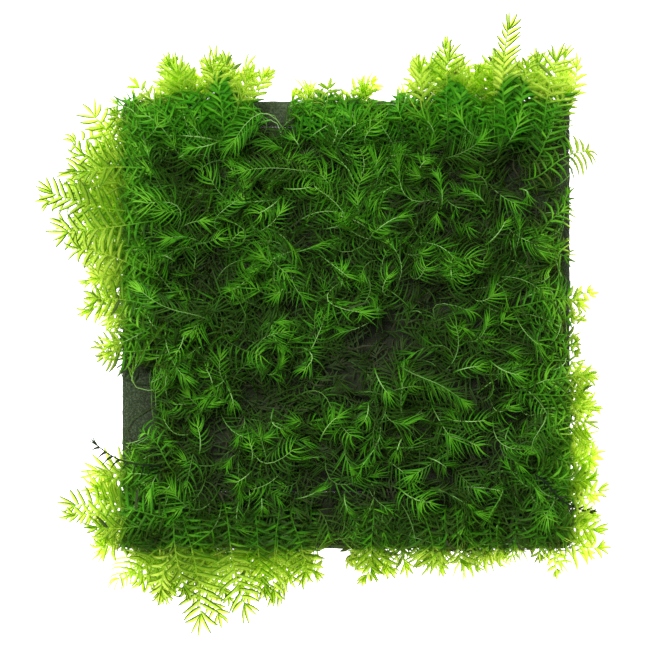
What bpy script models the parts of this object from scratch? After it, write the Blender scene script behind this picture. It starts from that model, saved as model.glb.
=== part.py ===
"""Phoenix moss tied with clear line to a square pad of dark foam.

The pad lies flat. The moss grows over it as a closed carpet with two bare places, and single
feathery shoots spread over its four edges and stand out from its top. Each shoot rests on what
lies under it.

The frame: origin at the middle of the pad's underside, +Z up, +X to the right and +Y to the top
of the photograph, which looks straight down.
"""
import math
from typing import NamedTuple

import bmesh
import bpy
import numpy as np
from mathutils import Euler, Matrix, Vector

# Real sizes, in metres
PAD_SIDE = 0.080
PAD_THICKNESS = 0.010
PAD_RIM_RADIUS = 0.0020
PAD_CORNER_RADIUS = 0.0013
PAD_FOOT_RADIUS = 0.0008
PAD_BEVEL_STEPS = 2

TOUCHING_GAP = 0.0003

LINE_RADIUS = 0.00011
LINE_DEPTH = 0.0002
LINE_TOP_BEND = 0.0019
LINE_FOOT_BEND = 0.0012
LINE_BEND_STEPS = 2
GROOVE_RADIUS = 0.00047

CARPET_HALF = 0.0394
CARPET_CELLS = 20
CARPET_WAVE = 0.0006
CARPET_LIP = 0.0012
CARPET_FULL = 0.0064
CARPET_LEAST = 0.0012
CARPET_SHOULDER = 0.0085
CARPET_RIPPLE = 0.0008
RIPPLE_LENGTHS = ((0.0090, 0.0190), (0.0077, 0.0242))
EDGE_WAVE_LENGTHS = (0.0070, 0.0203)
PATCH_CORNER = 0.0012
PATCH_CORNER_STEPS = 2

LEAF_THICKNESS = 0.00024
LEAF_BASE_ANGLE = math.radians(62)
LEAF_TIP_ANGLE = math.radians(26)
LEAF_ANGLE_CURVE = 1.5
LEAF_END_SHARE = 0.70
LEAF_SAG = 0.10
TIP_LEAF_SHARE = 0.75
STEM_WIDTH = 0.0004
STEM_TAPER = 0.4
BARE_STEM_MOST = 0.34

# A shoot is tipped by one of these angles, in degrees, and each degree counts as this much space
SETTLING_PITCHES = range(-24, 25, 4)
PITCH_COST = 0.00004

# The photograph's own frame, in its pixels: the pad's middle, and its side from edge to edge
PAD_MIDDLE_PX = (346.0, 325.0)
PAD_SIDE_PX = 446.0
PHOTO_PIXEL = PAD_SIDE / PAD_SIDE_PX

# The heights at which each line crosses the pad, top to bottom in the photograph
TIE_LINE_ROWS_PX = {"tie_line_top": 128.5, "tie_line_second": 151.6, "tie_line_bottom": 490.8}

# Colours of the foam, the line, the carpet, the light fringe, the shoots on top and the dry ones
FOAM_COLOUR = (0.028, 0.036, 0.031)
LINE_COLOUR = (0.75, 0.74, 0.80)
CARPET_COLOUR = (0.020, 0.110, 0.008)
FRINGE_COLOUR = (0.270, 0.620, 0.030)
UPPER_COLOUR = (0.060, 0.260, 0.015)
DRY_COLOUR = (0.060, 0.085, 0.035)


class Patch(NamedTuple):
    """A bare place, by its left, top, right and bottom in the photograph."""

    name: str
    box_px: tuple


class Tuft(NamedTuple):
    """A place where the carpet stands higher, or lower where its rise is negative."""

    middle_px: tuple
    radius_px: float
    rise: float


class Shoot(NamedTuple):
    """One feathery shoot: where it springs and ends in the photograph, and how it is held.

    pairs is how many leaves each side of the solid shows, leaf their length in metres, roll the
    turn about the shoot's own stem in degrees, bow the stem's sideways curve as a share of its
    length, arch how far its middle rises and droop how far its end falls, both in metres.
    """

    name: str
    root_px: tuple
    tip_px: tuple
    pairs: int
    leaf: float
    roll: float = 0.0
    bow: float = 0.0
    arch: float = 0.0005
    droop: float = 0.0005


PATCHES = (
    Patch("bare_patch_top", (252, 90, 287, 131)),
    Patch("bare_patch_left", (110, 368, 155, 440)),
)

TUFTS = (
    Tuft((225, 110), 45, 0.0024),
    Tuft((520, 105), 50, 0.0028),
    Tuft((440, 112), 30, 0.0018),
    Tuft((145, 165), 40, 0.0022),
    Tuft((150, 228), 30, 0.0016),
    Tuft((160, 310), 32, 0.0015),
    Tuft((150, 508), 34, 0.0020),
    Tuft((205, 540), 38, 0.0022),
    Tuft((488, 533), 26, 0.0026),
    Tuft((550, 400), 34, 0.0020),
    Tuft((522, 452), 24, 0.0020),
    Tuft((487, 185), 24, 0.0016),
    Tuft((262, 268), 30, 0.0014),
    Tuft((425, 300), 34, 0.0010),
    Tuft((430, 440), 30, 0.0012),
    Tuft((300, 420), 30, 0.0010),
    Tuft((530, 205), 18, -0.0034),
    Tuft((470, 215), 15, -0.0026),
    Tuft((220, 425), 22, -0.0030),
    Tuft((512, 518), 18, -0.0042),
    Tuft((205, 500), 16, -0.0028),
    Tuft((390, 285), 16, -0.0024),
    Tuft((310, 330), 16, -0.0022),
    Tuft((172, 402), 26, -0.0028),
    Tuft((468, 345), 18, -0.0022),
    Tuft((455, 495), 22, -0.0028),
    Tuft((378, 150), 18, -0.0020),
    Tuft((515, 332), 15, -0.0026),
)

UPPER_SHOOTS = (
    Shoot("upper_shoot_1", (296, 172), (226, 173), 5, 0.0036, roll=8, bow=0.04, arch=0.001),
    Shoot("upper_shoot_2", (188, 313), (124, 280), 5, 0.0036, roll=-12, bow=-0.08, arch=0.001),
    Shoot("upper_shoot_3", (534, 432), (520, 478), 4, 0.0056, roll=6, bow=0.10, droop=0.0005),
    Shoot("upper_shoot_4", (424, 378), (480, 412), 5, 0.0036, roll=10, bow=-0.05, arch=0.001),
)

DRY_SHOOTS = (
    Shoot("dry_shoot_left", (148, 463), (84, 437), 5, 0.0032, roll=25, bow=0.14, droop=0.001),
    Shoot("dry_shoot_right", (548, 486), (600, 516), 5, 0.0030, roll=30, bow=0.10, droop=0.0015),
)

LEFT_SHOOTS = (
    Shoot("left_shoot_1", (126, 162), (84, 100), 6, 0.0034, roll=-8, bow=0.04, droop=0.001),
    Shoot("left_shoot_2", (142, 158), (66, 157), 6, 0.0036, roll=25, bow=-0.06, droop=0.00125),
    Shoot("left_shoot_3", (140, 170), (70, 176), 5, 0.0034, roll=-20, bow=0.05, droop=0.002),
    Shoot("left_shoot_4", (142, 213), (33, 189), 8, 0.0035, roll=10, bow=-0.05, droop=0.0015),
    Shoot("left_shoot_5", (144, 224), (47, 236), 8, 0.0040, roll=-15, bow=-0.04, droop=0.002),
    Shoot("left_shoot_6", (144, 272), (64, 243), 5, 0.0036, roll=12, bow=0.06, droop=0.0015),
    Shoot("left_shoot_7", (146, 304), (80, 297), 5, 0.0033, roll=-12, bow=0.04, droop=0.002),
    Shoot("left_shoot_8", (146, 350), (85, 349), 5, 0.0044, roll=8, bow=-0.03, droop=0.0015),
    Shoot("left_shoot_9", (165, 452), (138, 422), 3, 0.0026, roll=10, bow=0.08),
    Shoot("left_shoot_10", (154, 512), (56, 501), 8, 0.0038, roll=-8, bow=0.04, droop=0.0015),
    Shoot("left_shoot_11", (152, 521), (80, 526), 5, 0.0034, roll=22, bow=-0.05, droop=0.0025),
)

BOTTOM_SHOOTS = (
    Shoot("bottom_shoot_4", (188, 528), (206, 637), 9, 0.0044, roll=-10, bow=-0.04, droop=0.0015),
    Shoot("bottom_shoot_6", (258, 532), (268, 603), 5, 0.0031, roll=-15, bow=0.03, droop=0.0015),
    Shoot("bottom_shoot_1", (174, 538), (122, 586), 5, 0.0037, roll=10, bow=-0.05, droop=0.002),
    Shoot("bottom_shoot_2", (178, 534), (159, 603), 5, 0.0030, roll=30, bow=0.05, droop=0.0025),
    Shoot("bottom_shoot_3", (176, 528), (190, 601), 5, 0.0032, roll=-20, bow=0.04, droop=0.0015),
    Shoot("bottom_shoot_5", (230, 528), (250, 622), 8, 0.0037, roll=12, bow=0.03, droop=0.0015),
    Shoot("bottom_shoot_7", (297, 530), (309, 590), 5, 0.0034, roll=10, bow=-0.05, droop=0.0015),
    Shoot("bottom_shoot_8", (372, 528), (371, 586), 5, 0.0036, roll=-8, bow=0.03, droop=0.0015),
    Shoot("bottom_shoot_9", (428, 528), (434, 579), 4, 0.0037, roll=14, bow=-0.06, droop=0.0015),
    Shoot("bottom_shoot_10", (456, 530), (462, 576), 4, 0.0034, roll=-12, bow=0.05, droop=0.0015),
    Shoot("bottom_shoot_11", (545, 534), (533, 566), 3, 0.0028, roll=10, bow=0.05, droop=0.0015),
)

RIGHT_SHOOTS = (
    Shoot("right_shoot_1", (556, 538), (612, 549), 5, 0.0034, roll=10, bow=0.05, droop=0.0015),
    Shoot("right_shoot_2", (552, 526), (611, 530), 5, 0.0034, roll=-14, bow=-0.04, droop=0.002),
    Shoot("right_shoot_3", (548, 476), (607, 480), 5, 0.0040, roll=-8, bow=0.03, droop=0.0015),
    Shoot("right_shoot_4", (538, 429), (602, 418), 5, 0.0040, roll=10, bow=-0.05, droop=0.0015),
    Shoot("right_shoot_5", (544, 394), (598, 389), 5, 0.0037, roll=-10, bow=0.05, droop=0.0015),
    Shoot("right_shoot_6", (552, 379), (600, 373), 4, 0.0032, roll=12, bow=-0.04, droop=0.0015),
    Shoot("right_shoot_7", (552, 341), (585, 346), 3, 0.0026, roll=-10, bow=0.05, droop=0.001),
    Shoot("right_shoot_8", (528, 304), (592, 297), 5, 0.0040, roll=8, bow=-0.04, droop=0.0015),
    Shoot("right_shoot_9", (544, 245), (575, 265), 3, 0.0029, roll=-8, bow=0.06, droop=0.001),
    Shoot("right_shoot_10", (541, 231), (573, 199), 4, 0.0037, roll=12, bow=-0.06, droop=0.001),
    Shoot("right_shoot_11", (548, 169), (600, 147), 5, 0.0036, roll=6, bow=-0.05, droop=0.001),
    Shoot("right_shoot_12", (543, 143), (567, 96), 5, 0.0044, roll=-6, bow=-0.03, droop=0.001),
)

TOP_SHOOTS = (
    Shoot("top_shoot_5", (477, 118), (484, 68), 4, 0.0034, roll=-15, bow=0.05, droop=0.0015),
    Shoot("top_shoot_1", (550, 118), (571, 84), 3, 0.0028, roll=12, bow=-0.05, droop=0.001),
    Shoot("top_shoot_2", (542, 118), (558, 43), 5, 0.0037, roll=-8, bow=-0.03, droop=0.0015),
    Shoot("top_shoot_3", (519, 118), (527, 54), 5, 0.0032, roll=20, bow=-0.04, droop=0.0015),
    Shoot("top_shoot_4", (503, 118), (506, 14), 9, 0.0038, roll=10, bow=0.03, droop=0.001),
    Shoot("top_shoot_6", (446, 122), (448, 39), 7, 0.0040, roll=8, bow=-0.03, droop=0.0015),
    Shoot("top_shoot_7", (426, 118), (417, 55), 5, 0.0032, roll=-18, bow=-0.04, droop=0.0015),
    Shoot("top_shoot_8", (346, 116), (376, 79), 4, 0.0034, roll=20, bow=0.24, droop=0.0015),
    Shoot("top_shoot_9", (324, 118), (330, 75), 4, 0.0028, roll=-10, bow=0.04, droop=0.0015),
    Shoot("top_shoot_10", (246, 120), (271, 66), 5, 0.0025, roll=-8, bow=-0.04, droop=0.001),
    Shoot("top_shoot_11", (234, 118), (255, 66), 5, 0.0030, roll=16, bow=0.04, droop=0.0015),
    Shoot("top_shoot_12", (224, 122), (208, 49), 6, 0.0047, roll=40, bow=0.05, droop=0.0015),
    Shoot("top_shoot_13", (194, 120), (172, 53), 5, 0.0043, roll=-16, bow=-0.05, droop=0.0015),
    Shoot("top_shoot_14", (174, 126), (140, 90), 4, 0.0034, roll=12, bow=0.05, droop=0.0015),
    Shoot("top_shoot_15", (144, 132), (107, 110), 4, 0.0034, roll=-10, bow=-0.05, droop=0.0015),
)


def clear_scene():
    """Remove every object that the scene starts with."""
    for thing in list(bpy.data.objects):
        bpy.data.objects.remove(thing)


def from_photo(point_px):
    """Turn a point of the photograph into metres from the pad's middle."""
    across = (point_px[0] - PAD_MIDDLE_PX[0]) * PHOTO_PIXEL
    up = (PAD_MIDDLE_PX[1] - point_px[1]) * PHOTO_PIXEL
    return Vector((across, up))


def new_collection(name):
    """Make a collection in the scene."""
    collection = bpy.data.collections.new(name)
    bpy.context.scene.collection.children.link(collection)
    return collection


def new_material(name, colour, roughness):
    """Make a plain finish of one colour."""
    material = bpy.data.materials.new(name)
    material.use_nodes = True
    shader = material.node_tree.nodes["Principled BSDF"]
    shader.inputs["Base Color"].default_value = (*colour, 1.0)
    shader.inputs["Roughness"].default_value = roughness
    shader.inputs["Metallic"].default_value = 0.0
    material.diffuse_color = (*colour, 1.0)
    return material


def new_object(name, mesh, collection, material=None):
    """Put a mesh in the collection under its own name."""
    thing = bpy.data.objects.new(name, mesh)
    collection.objects.link(thing)
    if material is not None:
        mesh.materials.append(material)
    return thing


def mesh_from(shape, name):
    """Write a bmesh to a mesh and free it."""
    mesh = bpy.data.meshes.new(name)
    shape.to_mesh(mesh)
    shape.free()
    return mesh


def new_cutter(name, mesh, collection):
    """Make an object that only cuts others."""
    cutter = new_object(name, mesh, collection)
    cutter.hide_render = True
    cutter.display_type = "WIRE"
    return cutter


def cut(thing, cutter):
    """Take the cutter's shape out of the object."""
    modifier = thing.modifiers.new(f"cut_{cutter.name}", "BOOLEAN")
    modifier.operation = "DIFFERENCE"
    modifier.solver = "EXACT"
    modifier.object = cutter


def loop_points():
    """The line's closed way round the pad, across and up, starting over the top's left bend.

    Each corner is a quarter circle: wide over the pad's rounded rim and tight under its foot.
    """
    side = PAD_SIDE / 2 - LINE_DEPTH
    top = PAD_THICKNESS - LINE_DEPTH
    corners = (
        (-side + LINE_TOP_BEND, top - LINE_TOP_BEND, LINE_TOP_BEND, 180),
        (side - LINE_TOP_BEND, top - LINE_TOP_BEND, LINE_TOP_BEND, 90),
        (side - LINE_FOOT_BEND, LINE_DEPTH + LINE_FOOT_BEND, LINE_FOOT_BEND, 0),
        (-side + LINE_FOOT_BEND, LINE_DEPTH + LINE_FOOT_BEND, LINE_FOOT_BEND, -90),
    )
    points = []
    for across, up, radius, start in corners:
        for step in range(LINE_BEND_STEPS + 1):
            angle = math.radians(start - 90 * step / LINE_BEND_STEPS)
            points.append((across + radius * math.cos(angle), up + radius * math.sin(angle)))
    return points


def line_curve(name, radius, roundness=2):
    """A closed wire of the given radius along the line's way, in the plane of its own origin."""
    curve = bpy.data.curves.new(name, "CURVE")
    curve.dimensions = "3D"
    curve.bevel_depth = radius
    curve.bevel_resolution = roundness
    curve.use_fill_caps = True
    points = loop_points()
    spline = curve.splines.new("POLY")
    spline.points.add(len(points) - 1)
    for point, (across, up) in zip(spline.points, points):
        point.co = (across, 0.0, up, 1.0)
    spline.use_cyclic_u = True
    return curve


def row_height(row_px):
    """Where a tie line crosses the pad, along +Y."""
    return from_photo((PAD_MIDDLE_PX[0], row_px)).y


def build_tie_lines(collection, material):
    """Lay one loop of line round the pad for each row that shows."""
    for name, row_px in TIE_LINE_ROWS_PX.items():
        curve = line_curve(name, LINE_RADIUS)
        curve.materials.append(material)
        line = bpy.data.objects.new(name, curve)
        line.location.y = row_height(row_px)
        collection.objects.link(line)


def groove_cutter(name, row_px, collection):
    """A wider loop on the same way as the line, as a mesh that can cut."""
    curve = line_curve(name, GROOVE_RADIUS, roundness=1)
    guide = bpy.data.objects.new(name + "_guide", curve)
    guide.location.y = row_height(row_px)
    collection.objects.link(guide)
    evaluated = guide.evaluated_get(bpy.context.evaluated_depsgraph_get())
    mesh = bpy.data.meshes.new_from_object(evaluated)
    cutter = new_cutter(name, mesh, collection)
    cutter.matrix_world = Matrix.Translation((0.0, row_height(row_px), 0.0))
    bpy.data.objects.remove(guide)
    return cutter


def build_pad(collection, cutters, material):
    """The foam pad: a block with a round rim, closer corners and a slight foot radius."""
    block = bmesh.new()
    size = Matrix.Diagonal((PAD_SIDE, PAD_SIDE, PAD_THICKNESS, 1.0))
    lift = Matrix.Translation((0.0, 0.0, PAD_THICKNESS / 2))
    bmesh.ops.create_cube(block, size=1.0, matrix=lift @ size)
    weights = block.edges.layers.float.new("bevel_weight_edge")
    for edge in block.edges:
        low, high = sorted(vertex.co.z for vertex in edge.verts)
        if low > PAD_THICKNESS / 2:
            radius = PAD_RIM_RADIUS
        elif high < PAD_THICKNESS / 2:
            radius = PAD_FOOT_RADIUS
        else:
            radius = PAD_CORNER_RADIUS
        edge[weights] = radius / PAD_RIM_RADIUS
    pad = new_object("foam_pad", mesh_from(block, "foam_pad"), collection, material)
    rounding = pad.modifiers.new("rounded_edges", "BEVEL")
    rounding.limit_method = "WEIGHT"
    rounding.width = PAD_RIM_RADIUS
    rounding.segments = PAD_BEVEL_STEPS
    for name, row_px in TIE_LINE_ROWS_PX.items():
        cut(pad, groove_cutter(name + "_groove", row_px, cutters))
    return pad


def carpet_height(x, y):
    """How high the moss stands over the pad at a point.

    It rises as a quarter sine over the shoulder from the lip at the edge to its full height, on
    which each tuft adds a bell-shaped rise and two crossed waves add a small ripple.
    """
    edge = CARPET_HALF - max(abs(x), abs(y))
    shoulder = math.sin(min(1.0, max(0.0, edge / CARPET_SHOULDER)) * math.pi / 2)
    full = CARPET_FULL
    for tuft in TUFTS:
        middle = from_photo(tuft.middle_px)
        radius = tuft.radius_px * PHOTO_PIXEL
        full += tuft.rise * math.exp(-((x - middle.x) ** 2 + (y - middle.y) ** 2) / radius ** 2)
    (first_across, first_up), (second_up, second_across) = RIPPLE_LENGTHS
    waves = math.sin(math.tau * (x / first_across + y / first_up))
    waves += math.sin(math.tau * (y / second_up - x / second_across))
    full += CARPET_RIPPLE * waves
    return max(CARPET_LEAST, CARPET_LIP + (full - CARPET_LIP) * shoulder)


def edge_wave(along):
    """The small in and out of the carpet's edge, at a place along it."""
    short, long = EDGE_WAVE_LENGTHS
    return CARPET_WAVE * math.sin(math.tau * along / short) * math.cos(math.tau * along / long)


def grid_sheet(columns, rows):
    """A flat grid of faces, with its vertices found by their column and row."""
    sheet = bmesh.new()
    bmesh.ops.create_grid(sheet, x_segments=columns, y_segments=rows, size=1.0)
    corners = {}
    for vertex in sheet.verts:
        column = round((vertex.co.x + 1) / 2 * columns)
        row = round((vertex.co.y + 1) / 2 * rows)
        corners[column, row] = vertex
    return sheet, corners


def build_carpet(collection, cutters, material):
    """The carpet: a lumpy top on a flat underside just over the foam, less the bare places."""
    floor = PAD_THICKNESS + TOUCHING_GAP
    sheet, _ = grid_sheet(CARPET_CELLS, CARPET_CELLS)
    bottom = bmesh.ops.extrude_face_region(sheet, geom=sheet.faces[:], use_keep_orig=True)["geom"]
    lower = {part for part in bottom if isinstance(part, bmesh.types.BMVert)}
    lower_faces = [part for part in bottom if isinstance(part, bmesh.types.BMFace)]
    for vertex in sheet.verts:
        u, v = vertex.co.x, vertex.co.y
        vertex.co.x = u * (CARPET_HALF + edge_wave(v * CARPET_HALF + PAD_THICKNESS))
        vertex.co.y = v * (CARPET_HALF + edge_wave(u * CARPET_HALF))
        vertex.co.z = floor
        if vertex not in lower:
            vertex.co.z += carpet_height(u * CARPET_HALF, v * CARPET_HALF)
    bmesh.ops.dissolve_faces(sheet, faces=lower_faces)
    bmesh.ops.recalc_face_normals(sheet, faces=sheet.faces[:])
    carpet = new_object("moss_carpet", mesh_from(sheet, "moss_carpet"), collection, material)
    for patch in PATCHES:
        cut(carpet, patch_cutter(patch, cutters))
    return carpet


def patch_cutter(patch, collection):
    """An upright block with round corners over a bare place."""
    left_top = from_photo(patch.box_px[:2])
    right_bottom = from_photo(patch.box_px[2:])
    width = right_bottom.x - left_top.x
    length = left_top.y - right_bottom.y
    block = bmesh.new()
    size = Matrix.Diagonal((width, length, 4 * PAD_THICKNESS, 1.0))
    bmesh.ops.create_cube(block, size=1.0, matrix=size)
    upright = [edge for edge in block.edges if abs(edge.verts[0].co.z - edge.verts[1].co.z) > width]
    bmesh.ops.bevel(
        block, geom=upright, offset=PATCH_CORNER, segments=PATCH_CORNER_STEPS, profile=0.5,
        affect="EDGES",
    )
    cutter = new_cutter(patch.name, mesh_from(block, patch.name), collection)
    middle = (left_top + right_bottom) / 2
    cutter.location = (middle.x, middle.y, PAD_THICKNESS)
    return cutter


def edge_share(root, tip):
    """The share of the straight way from root to tip at which it leaves the carpet, or nought."""
    crossings = [
        (CARPET_HALF - abs(start)) / (abs(end) - abs(start))
        for start, end in zip(root, tip)
        if abs(end) > CARPET_HALF
    ]
    return max(0.0, min(crossings, default=0.0))


class Stem:
    """The way of one shoot's stem in the shoot's own frame: +Y along it, +X to its right."""

    def __init__(self, shoot):
        self.shoot = shoot
        root, tip = from_photo(shoot.root_px), from_photo(shoot.tip_px)
        self.length = (tip - root).length - TIP_LEAF_SHARE * shoot.leaf
        self.bare = min(BARE_STEM_MOST, edge_share(root, tip))

    def point(self, share):
        """The stem's middle at a share of its length."""
        hump = 4 * share * (1 - share)
        across = self.shoot.bow * self.length * hump
        up = self.shoot.arch * hump - self.shoot.droop * share ** 2
        return Vector((across, self.length * share, up))

    def axes(self, share):
        """The directions along, to the right of and out of the shoot's face there."""
        slope = 4 * (1 - 2 * share)
        along = Vector((
            self.shoot.bow * self.length * slope,
            self.length,
            self.shoot.arch * slope - 2 * self.shoot.droop * share,
        )).normalized()
        right = along.cross(Vector((0, 0, 1))).normalized()
        face = right.cross(along)
        roll = math.radians(self.shoot.roll)
        rolled = right * math.cos(roll) + face * math.sin(roll)
        return along, rolled, rolled.cross(along)


def leaf_tip(stem, share, side):
    """Where the leaf at a share of the stem ends. side is 1 to the right and -1 to the left.

    The leaf swings from wide at the stem's foot to nearly forward at its end, is longest at the
    middle of the stem, and its end sags below the shoot's face.
    """
    along, right, face = stem.axes(share)
    angle = LEAF_BASE_ANGLE + (LEAF_TIP_ANGLE - LEAF_BASE_ANGLE) * share ** LEAF_ANGLE_CURVE
    length = stem.shoot.leaf * (LEAF_END_SHARE + (1 - LEAF_END_SHARE) * math.sin(math.pi * share))
    reach = along * math.cos(angle) + right * side * math.sin(angle)
    return stem.point(share) + reach * length - face * LEAF_SAG * length


def shoot_sheet(shoot):
    """The shoot as one open sheet: a narrow stem with a pointed leaf from every other cell.

    The leaves stand alternately, left from the odd rows of the grid and right from the even ones.
    The first cell of the stem is its bare foot, and the last is drawn out into the leaf that ends
    the shoot.
    """
    leaf_rows = 2 * shoot.pairs
    rows = leaf_rows + 2
    stem = Stem(shoot)
    shares = [0.0] + [stem.bare + (1 - stem.bare) * row / leaf_rows for row in range(leaf_rows + 1)]
    sheet, corners = grid_sheet(3, rows)
    gaps = []
    for face in sheet.faces:
        middle = face.calc_center_median()
        column = int((middle.x + 1) / 2 * 3)
        row = int((middle.y + 1) / 2 * rows)
        leafy = 1 <= row <= leaf_rows and column == (0 if row % 2 else 2)
        if column != 1 and not leafy:
            gaps.append(face)
    bmesh.ops.delete(sheet, geom=gaps, context="FACES")

    for row, share in enumerate(shares):
        _, right, _ = stem.axes(share)
        half = STEM_WIDTH / 2 * (1 - STEM_TAPER * share)
        corners[1, row].co = stem.point(share) - right * half
        corners[2, row].co = stem.point(share) + right * half
    along, _, face = stem.axes(1.0)
    end = stem.point(1.0) + (along * TIP_LEAF_SHARE - face * LEAF_SAG / 2) * shoot.leaf
    bmesh.ops.pointmerge(sheet, verts=[corners[1, rows], corners[2, rows]], merge_co=end)
    for row in range(1, leaf_rows + 1):
        side, column = (-1, 0) if row % 2 else (1, 3)
        tip = leaf_tip(stem, (shares[row] + shares[row + 1]) / 2, side)
        outer = [corners[column, row], corners[column, row + 1]]
        bmesh.ops.pointmerge(sheet, verts=outer, merge_co=tip)
    return sheet


class Landscape:
    """The highest point over each small square of the ground, as shoots are laid down."""

    CELL = 0.0004
    HALF = 0.064

    def __init__(self):
        cells = 2 * math.ceil(self.HALF / self.CELL)
        self.height = np.zeros((cells, cells))

    def spread(self, triangles):
        """Points over every triangle, closer together than the squares."""
        points = []
        for first, second, third in triangles:
            longest = max(np.linalg.norm(second - first), np.linalg.norm(third - first))
            steps = max(1, math.ceil(1.5 * longest / self.CELL))
            u, v = np.meshgrid(np.arange(steps + 1), np.arange(steps + 1))
            inside = u + v <= steps
            u, v = u[inside, None] / steps, v[inside, None] / steps
            points.append(first + u * (second - first) + v * (third - first))
        return np.concatenate(points)

    def squares(self, points):
        """The squares that hold the points."""
        index = np.floor((points[:, :2] + self.HALF) / self.CELL).astype(int)
        return index[:, 0], index[:, 1]

    def cover(self, triangles, half_thickness):
        """Raise the ground under a thing that has been put down, and one square round it."""
        points = self.spread(triangles)
        layer = np.zeros_like(self.height)
        np.maximum.at(layer, self.squares(points), points[:, 2] + half_thickness)
        for axis in (0, 1):
            layer = np.maximum(layer, np.maximum(np.roll(layer, 1, axis), np.roll(layer, -1, axis)))
        self.height = np.maximum(self.height, layer)

    def seat(self, triangles, half_thickness):
        """How far a thing must be lifted to lie clear on the ground, and how loosely it then lies.

        The second number is the mean space left under what lies over the pad.
        """
        points = self.spread(triangles)
        below = self.height[self.squares(points)]
        lift = float((below - points[:, 2]).max()) + half_thickness + TOUCHING_GAP
        over_pad = np.abs(points[:, :2]).max(axis=1) < CARPET_HALF
        space = (points[:, 2] + lift - below)[over_pad]
        return lift, float(space.mean())


def triangles_of(mesh, matrix):
    """The mesh's triangles in the world, as an array of corners."""
    mesh.calc_loop_triangles()
    places = np.array([matrix @ vertex.co for vertex in mesh.vertices])
    corners = np.array([triangle.vertices for triangle in mesh.loop_triangles])
    return places[corners]


def cover_object(landscape, thing):
    """Add an object with its modifiers to the ground."""
    evaluated = thing.evaluated_get(bpy.context.evaluated_depsgraph_get())
    mesh = evaluated.to_mesh()
    landscape.cover(triangles_of(mesh, evaluated.matrix_world), 0.0)
    evaluated.to_mesh_clear()


def build_shoot(shoot, landscape, collection, material):
    """Lay one shoot where the photograph shows it, as low as what lies there lets it.

    It is tipped up or down by whichever of a few small angles lets it lie closest.
    """
    mesh = mesh_from(shoot_sheet(shoot), shoot.name)
    root = from_photo(shoot.root_px)
    way = from_photo(shoot.tip_px) - root
    heading = math.atan2(way.y, way.x) - math.pi / 2
    choices = []
    for pitch in SETTLING_PITCHES:
        turn = Euler((math.radians(pitch), 0.0, heading))
        place = Matrix.Translation((root.x, root.y, 0.0)) @ turn.to_matrix().to_4x4()
        lift, space = landscape.seat(triangles_of(mesh, place), LEAF_THICKNESS / 2)
        choices.append((space + PITCH_COST * abs(pitch), pitch, lift, turn, place))
    _, _, lift, turn, place = min(choices)
    landscape.cover(triangles_of(mesh, Matrix.Translation((0, 0, lift)) @ place), LEAF_THICKNESS / 2)
    thing = new_object(shoot.name, mesh, collection, material)
    thing.location = (root.x, root.y, lift)
    thing.rotation_euler = turn
    body = thing.modifiers.new("leaf_thickness", "SOLIDIFY")
    body.thickness = LEAF_THICKNESS
    body.offset = 0.0


def main():
    """Build the pad, the lines, the carpet and then the shoots, from the lowest up."""
    clear_scene()
    parts = new_collection("phoenix_moss_pad")
    cutters = new_collection("cutters")
    pad = build_pad(parts, cutters, new_material("dark_foam", FOAM_COLOUR, 0.95))
    build_tie_lines(parts, new_material("clear_line", LINE_COLOUR, 0.15))
    carpet = build_carpet(parts, cutters, new_material("moss_green", CARPET_COLOUR, 0.6))

    bpy.context.view_layer.update()
    landscape = Landscape()
    cover_object(landscape, pad)
    cover_object(landscape, carpet)
    dry = new_material("dry_moss", DRY_COLOUR, 0.7)
    fringe = new_material("fringe_green", FRINGE_COLOUR, 0.5)
    upper = new_material("upper_green", UPPER_COLOUR, 0.5)
    for shoot in DRY_SHOOTS:
        build_shoot(shoot, landscape, parts, dry)
    for shoot in LEFT_SHOOTS + BOTTOM_SHOOTS + RIGHT_SHOOTS + TOP_SHOOTS:
        build_shoot(shoot, landscape, parts, fringe)
    for shoot in UPPER_SHOOTS:
        build_shoot(shoot, landscape, parts, upper)


main()
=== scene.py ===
"""Phoenix moss tied with clear line to a square pad of dark foam, dressed for its portrait.

The solids give the places and sizes. Here the pad gets its fine foam skin, the line its clear
nylon, and the moss its leaves: every shoot is a thin stem with two rows of narrow blades. The
pad lies on a light table, so that light comes up through the shoots that hang over its edges,
while the pad keeps the moss on top of it in its own shade.
"""

import logging
import math
from dataclasses import dataclass, field, replace
from enum import Enum

import bpy
import numpy as np
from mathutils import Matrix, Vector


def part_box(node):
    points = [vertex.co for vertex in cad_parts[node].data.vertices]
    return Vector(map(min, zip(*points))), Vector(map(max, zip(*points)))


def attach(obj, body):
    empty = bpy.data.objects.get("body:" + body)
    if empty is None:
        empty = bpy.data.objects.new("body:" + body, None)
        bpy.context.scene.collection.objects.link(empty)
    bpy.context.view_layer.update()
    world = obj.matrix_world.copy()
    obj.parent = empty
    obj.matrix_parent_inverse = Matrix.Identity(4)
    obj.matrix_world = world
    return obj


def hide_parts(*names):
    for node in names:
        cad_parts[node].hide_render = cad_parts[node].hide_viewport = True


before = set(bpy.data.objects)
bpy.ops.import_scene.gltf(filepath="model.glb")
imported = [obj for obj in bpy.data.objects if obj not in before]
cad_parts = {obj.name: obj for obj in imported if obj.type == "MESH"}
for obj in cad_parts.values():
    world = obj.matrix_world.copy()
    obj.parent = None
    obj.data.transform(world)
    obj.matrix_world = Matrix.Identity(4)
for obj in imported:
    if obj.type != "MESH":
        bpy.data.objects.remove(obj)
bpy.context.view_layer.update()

Array = np.ndarray
log = logging.getLogger("moss_pad")
UP = np.array((0.0, 0.0, 1.0))

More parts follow.
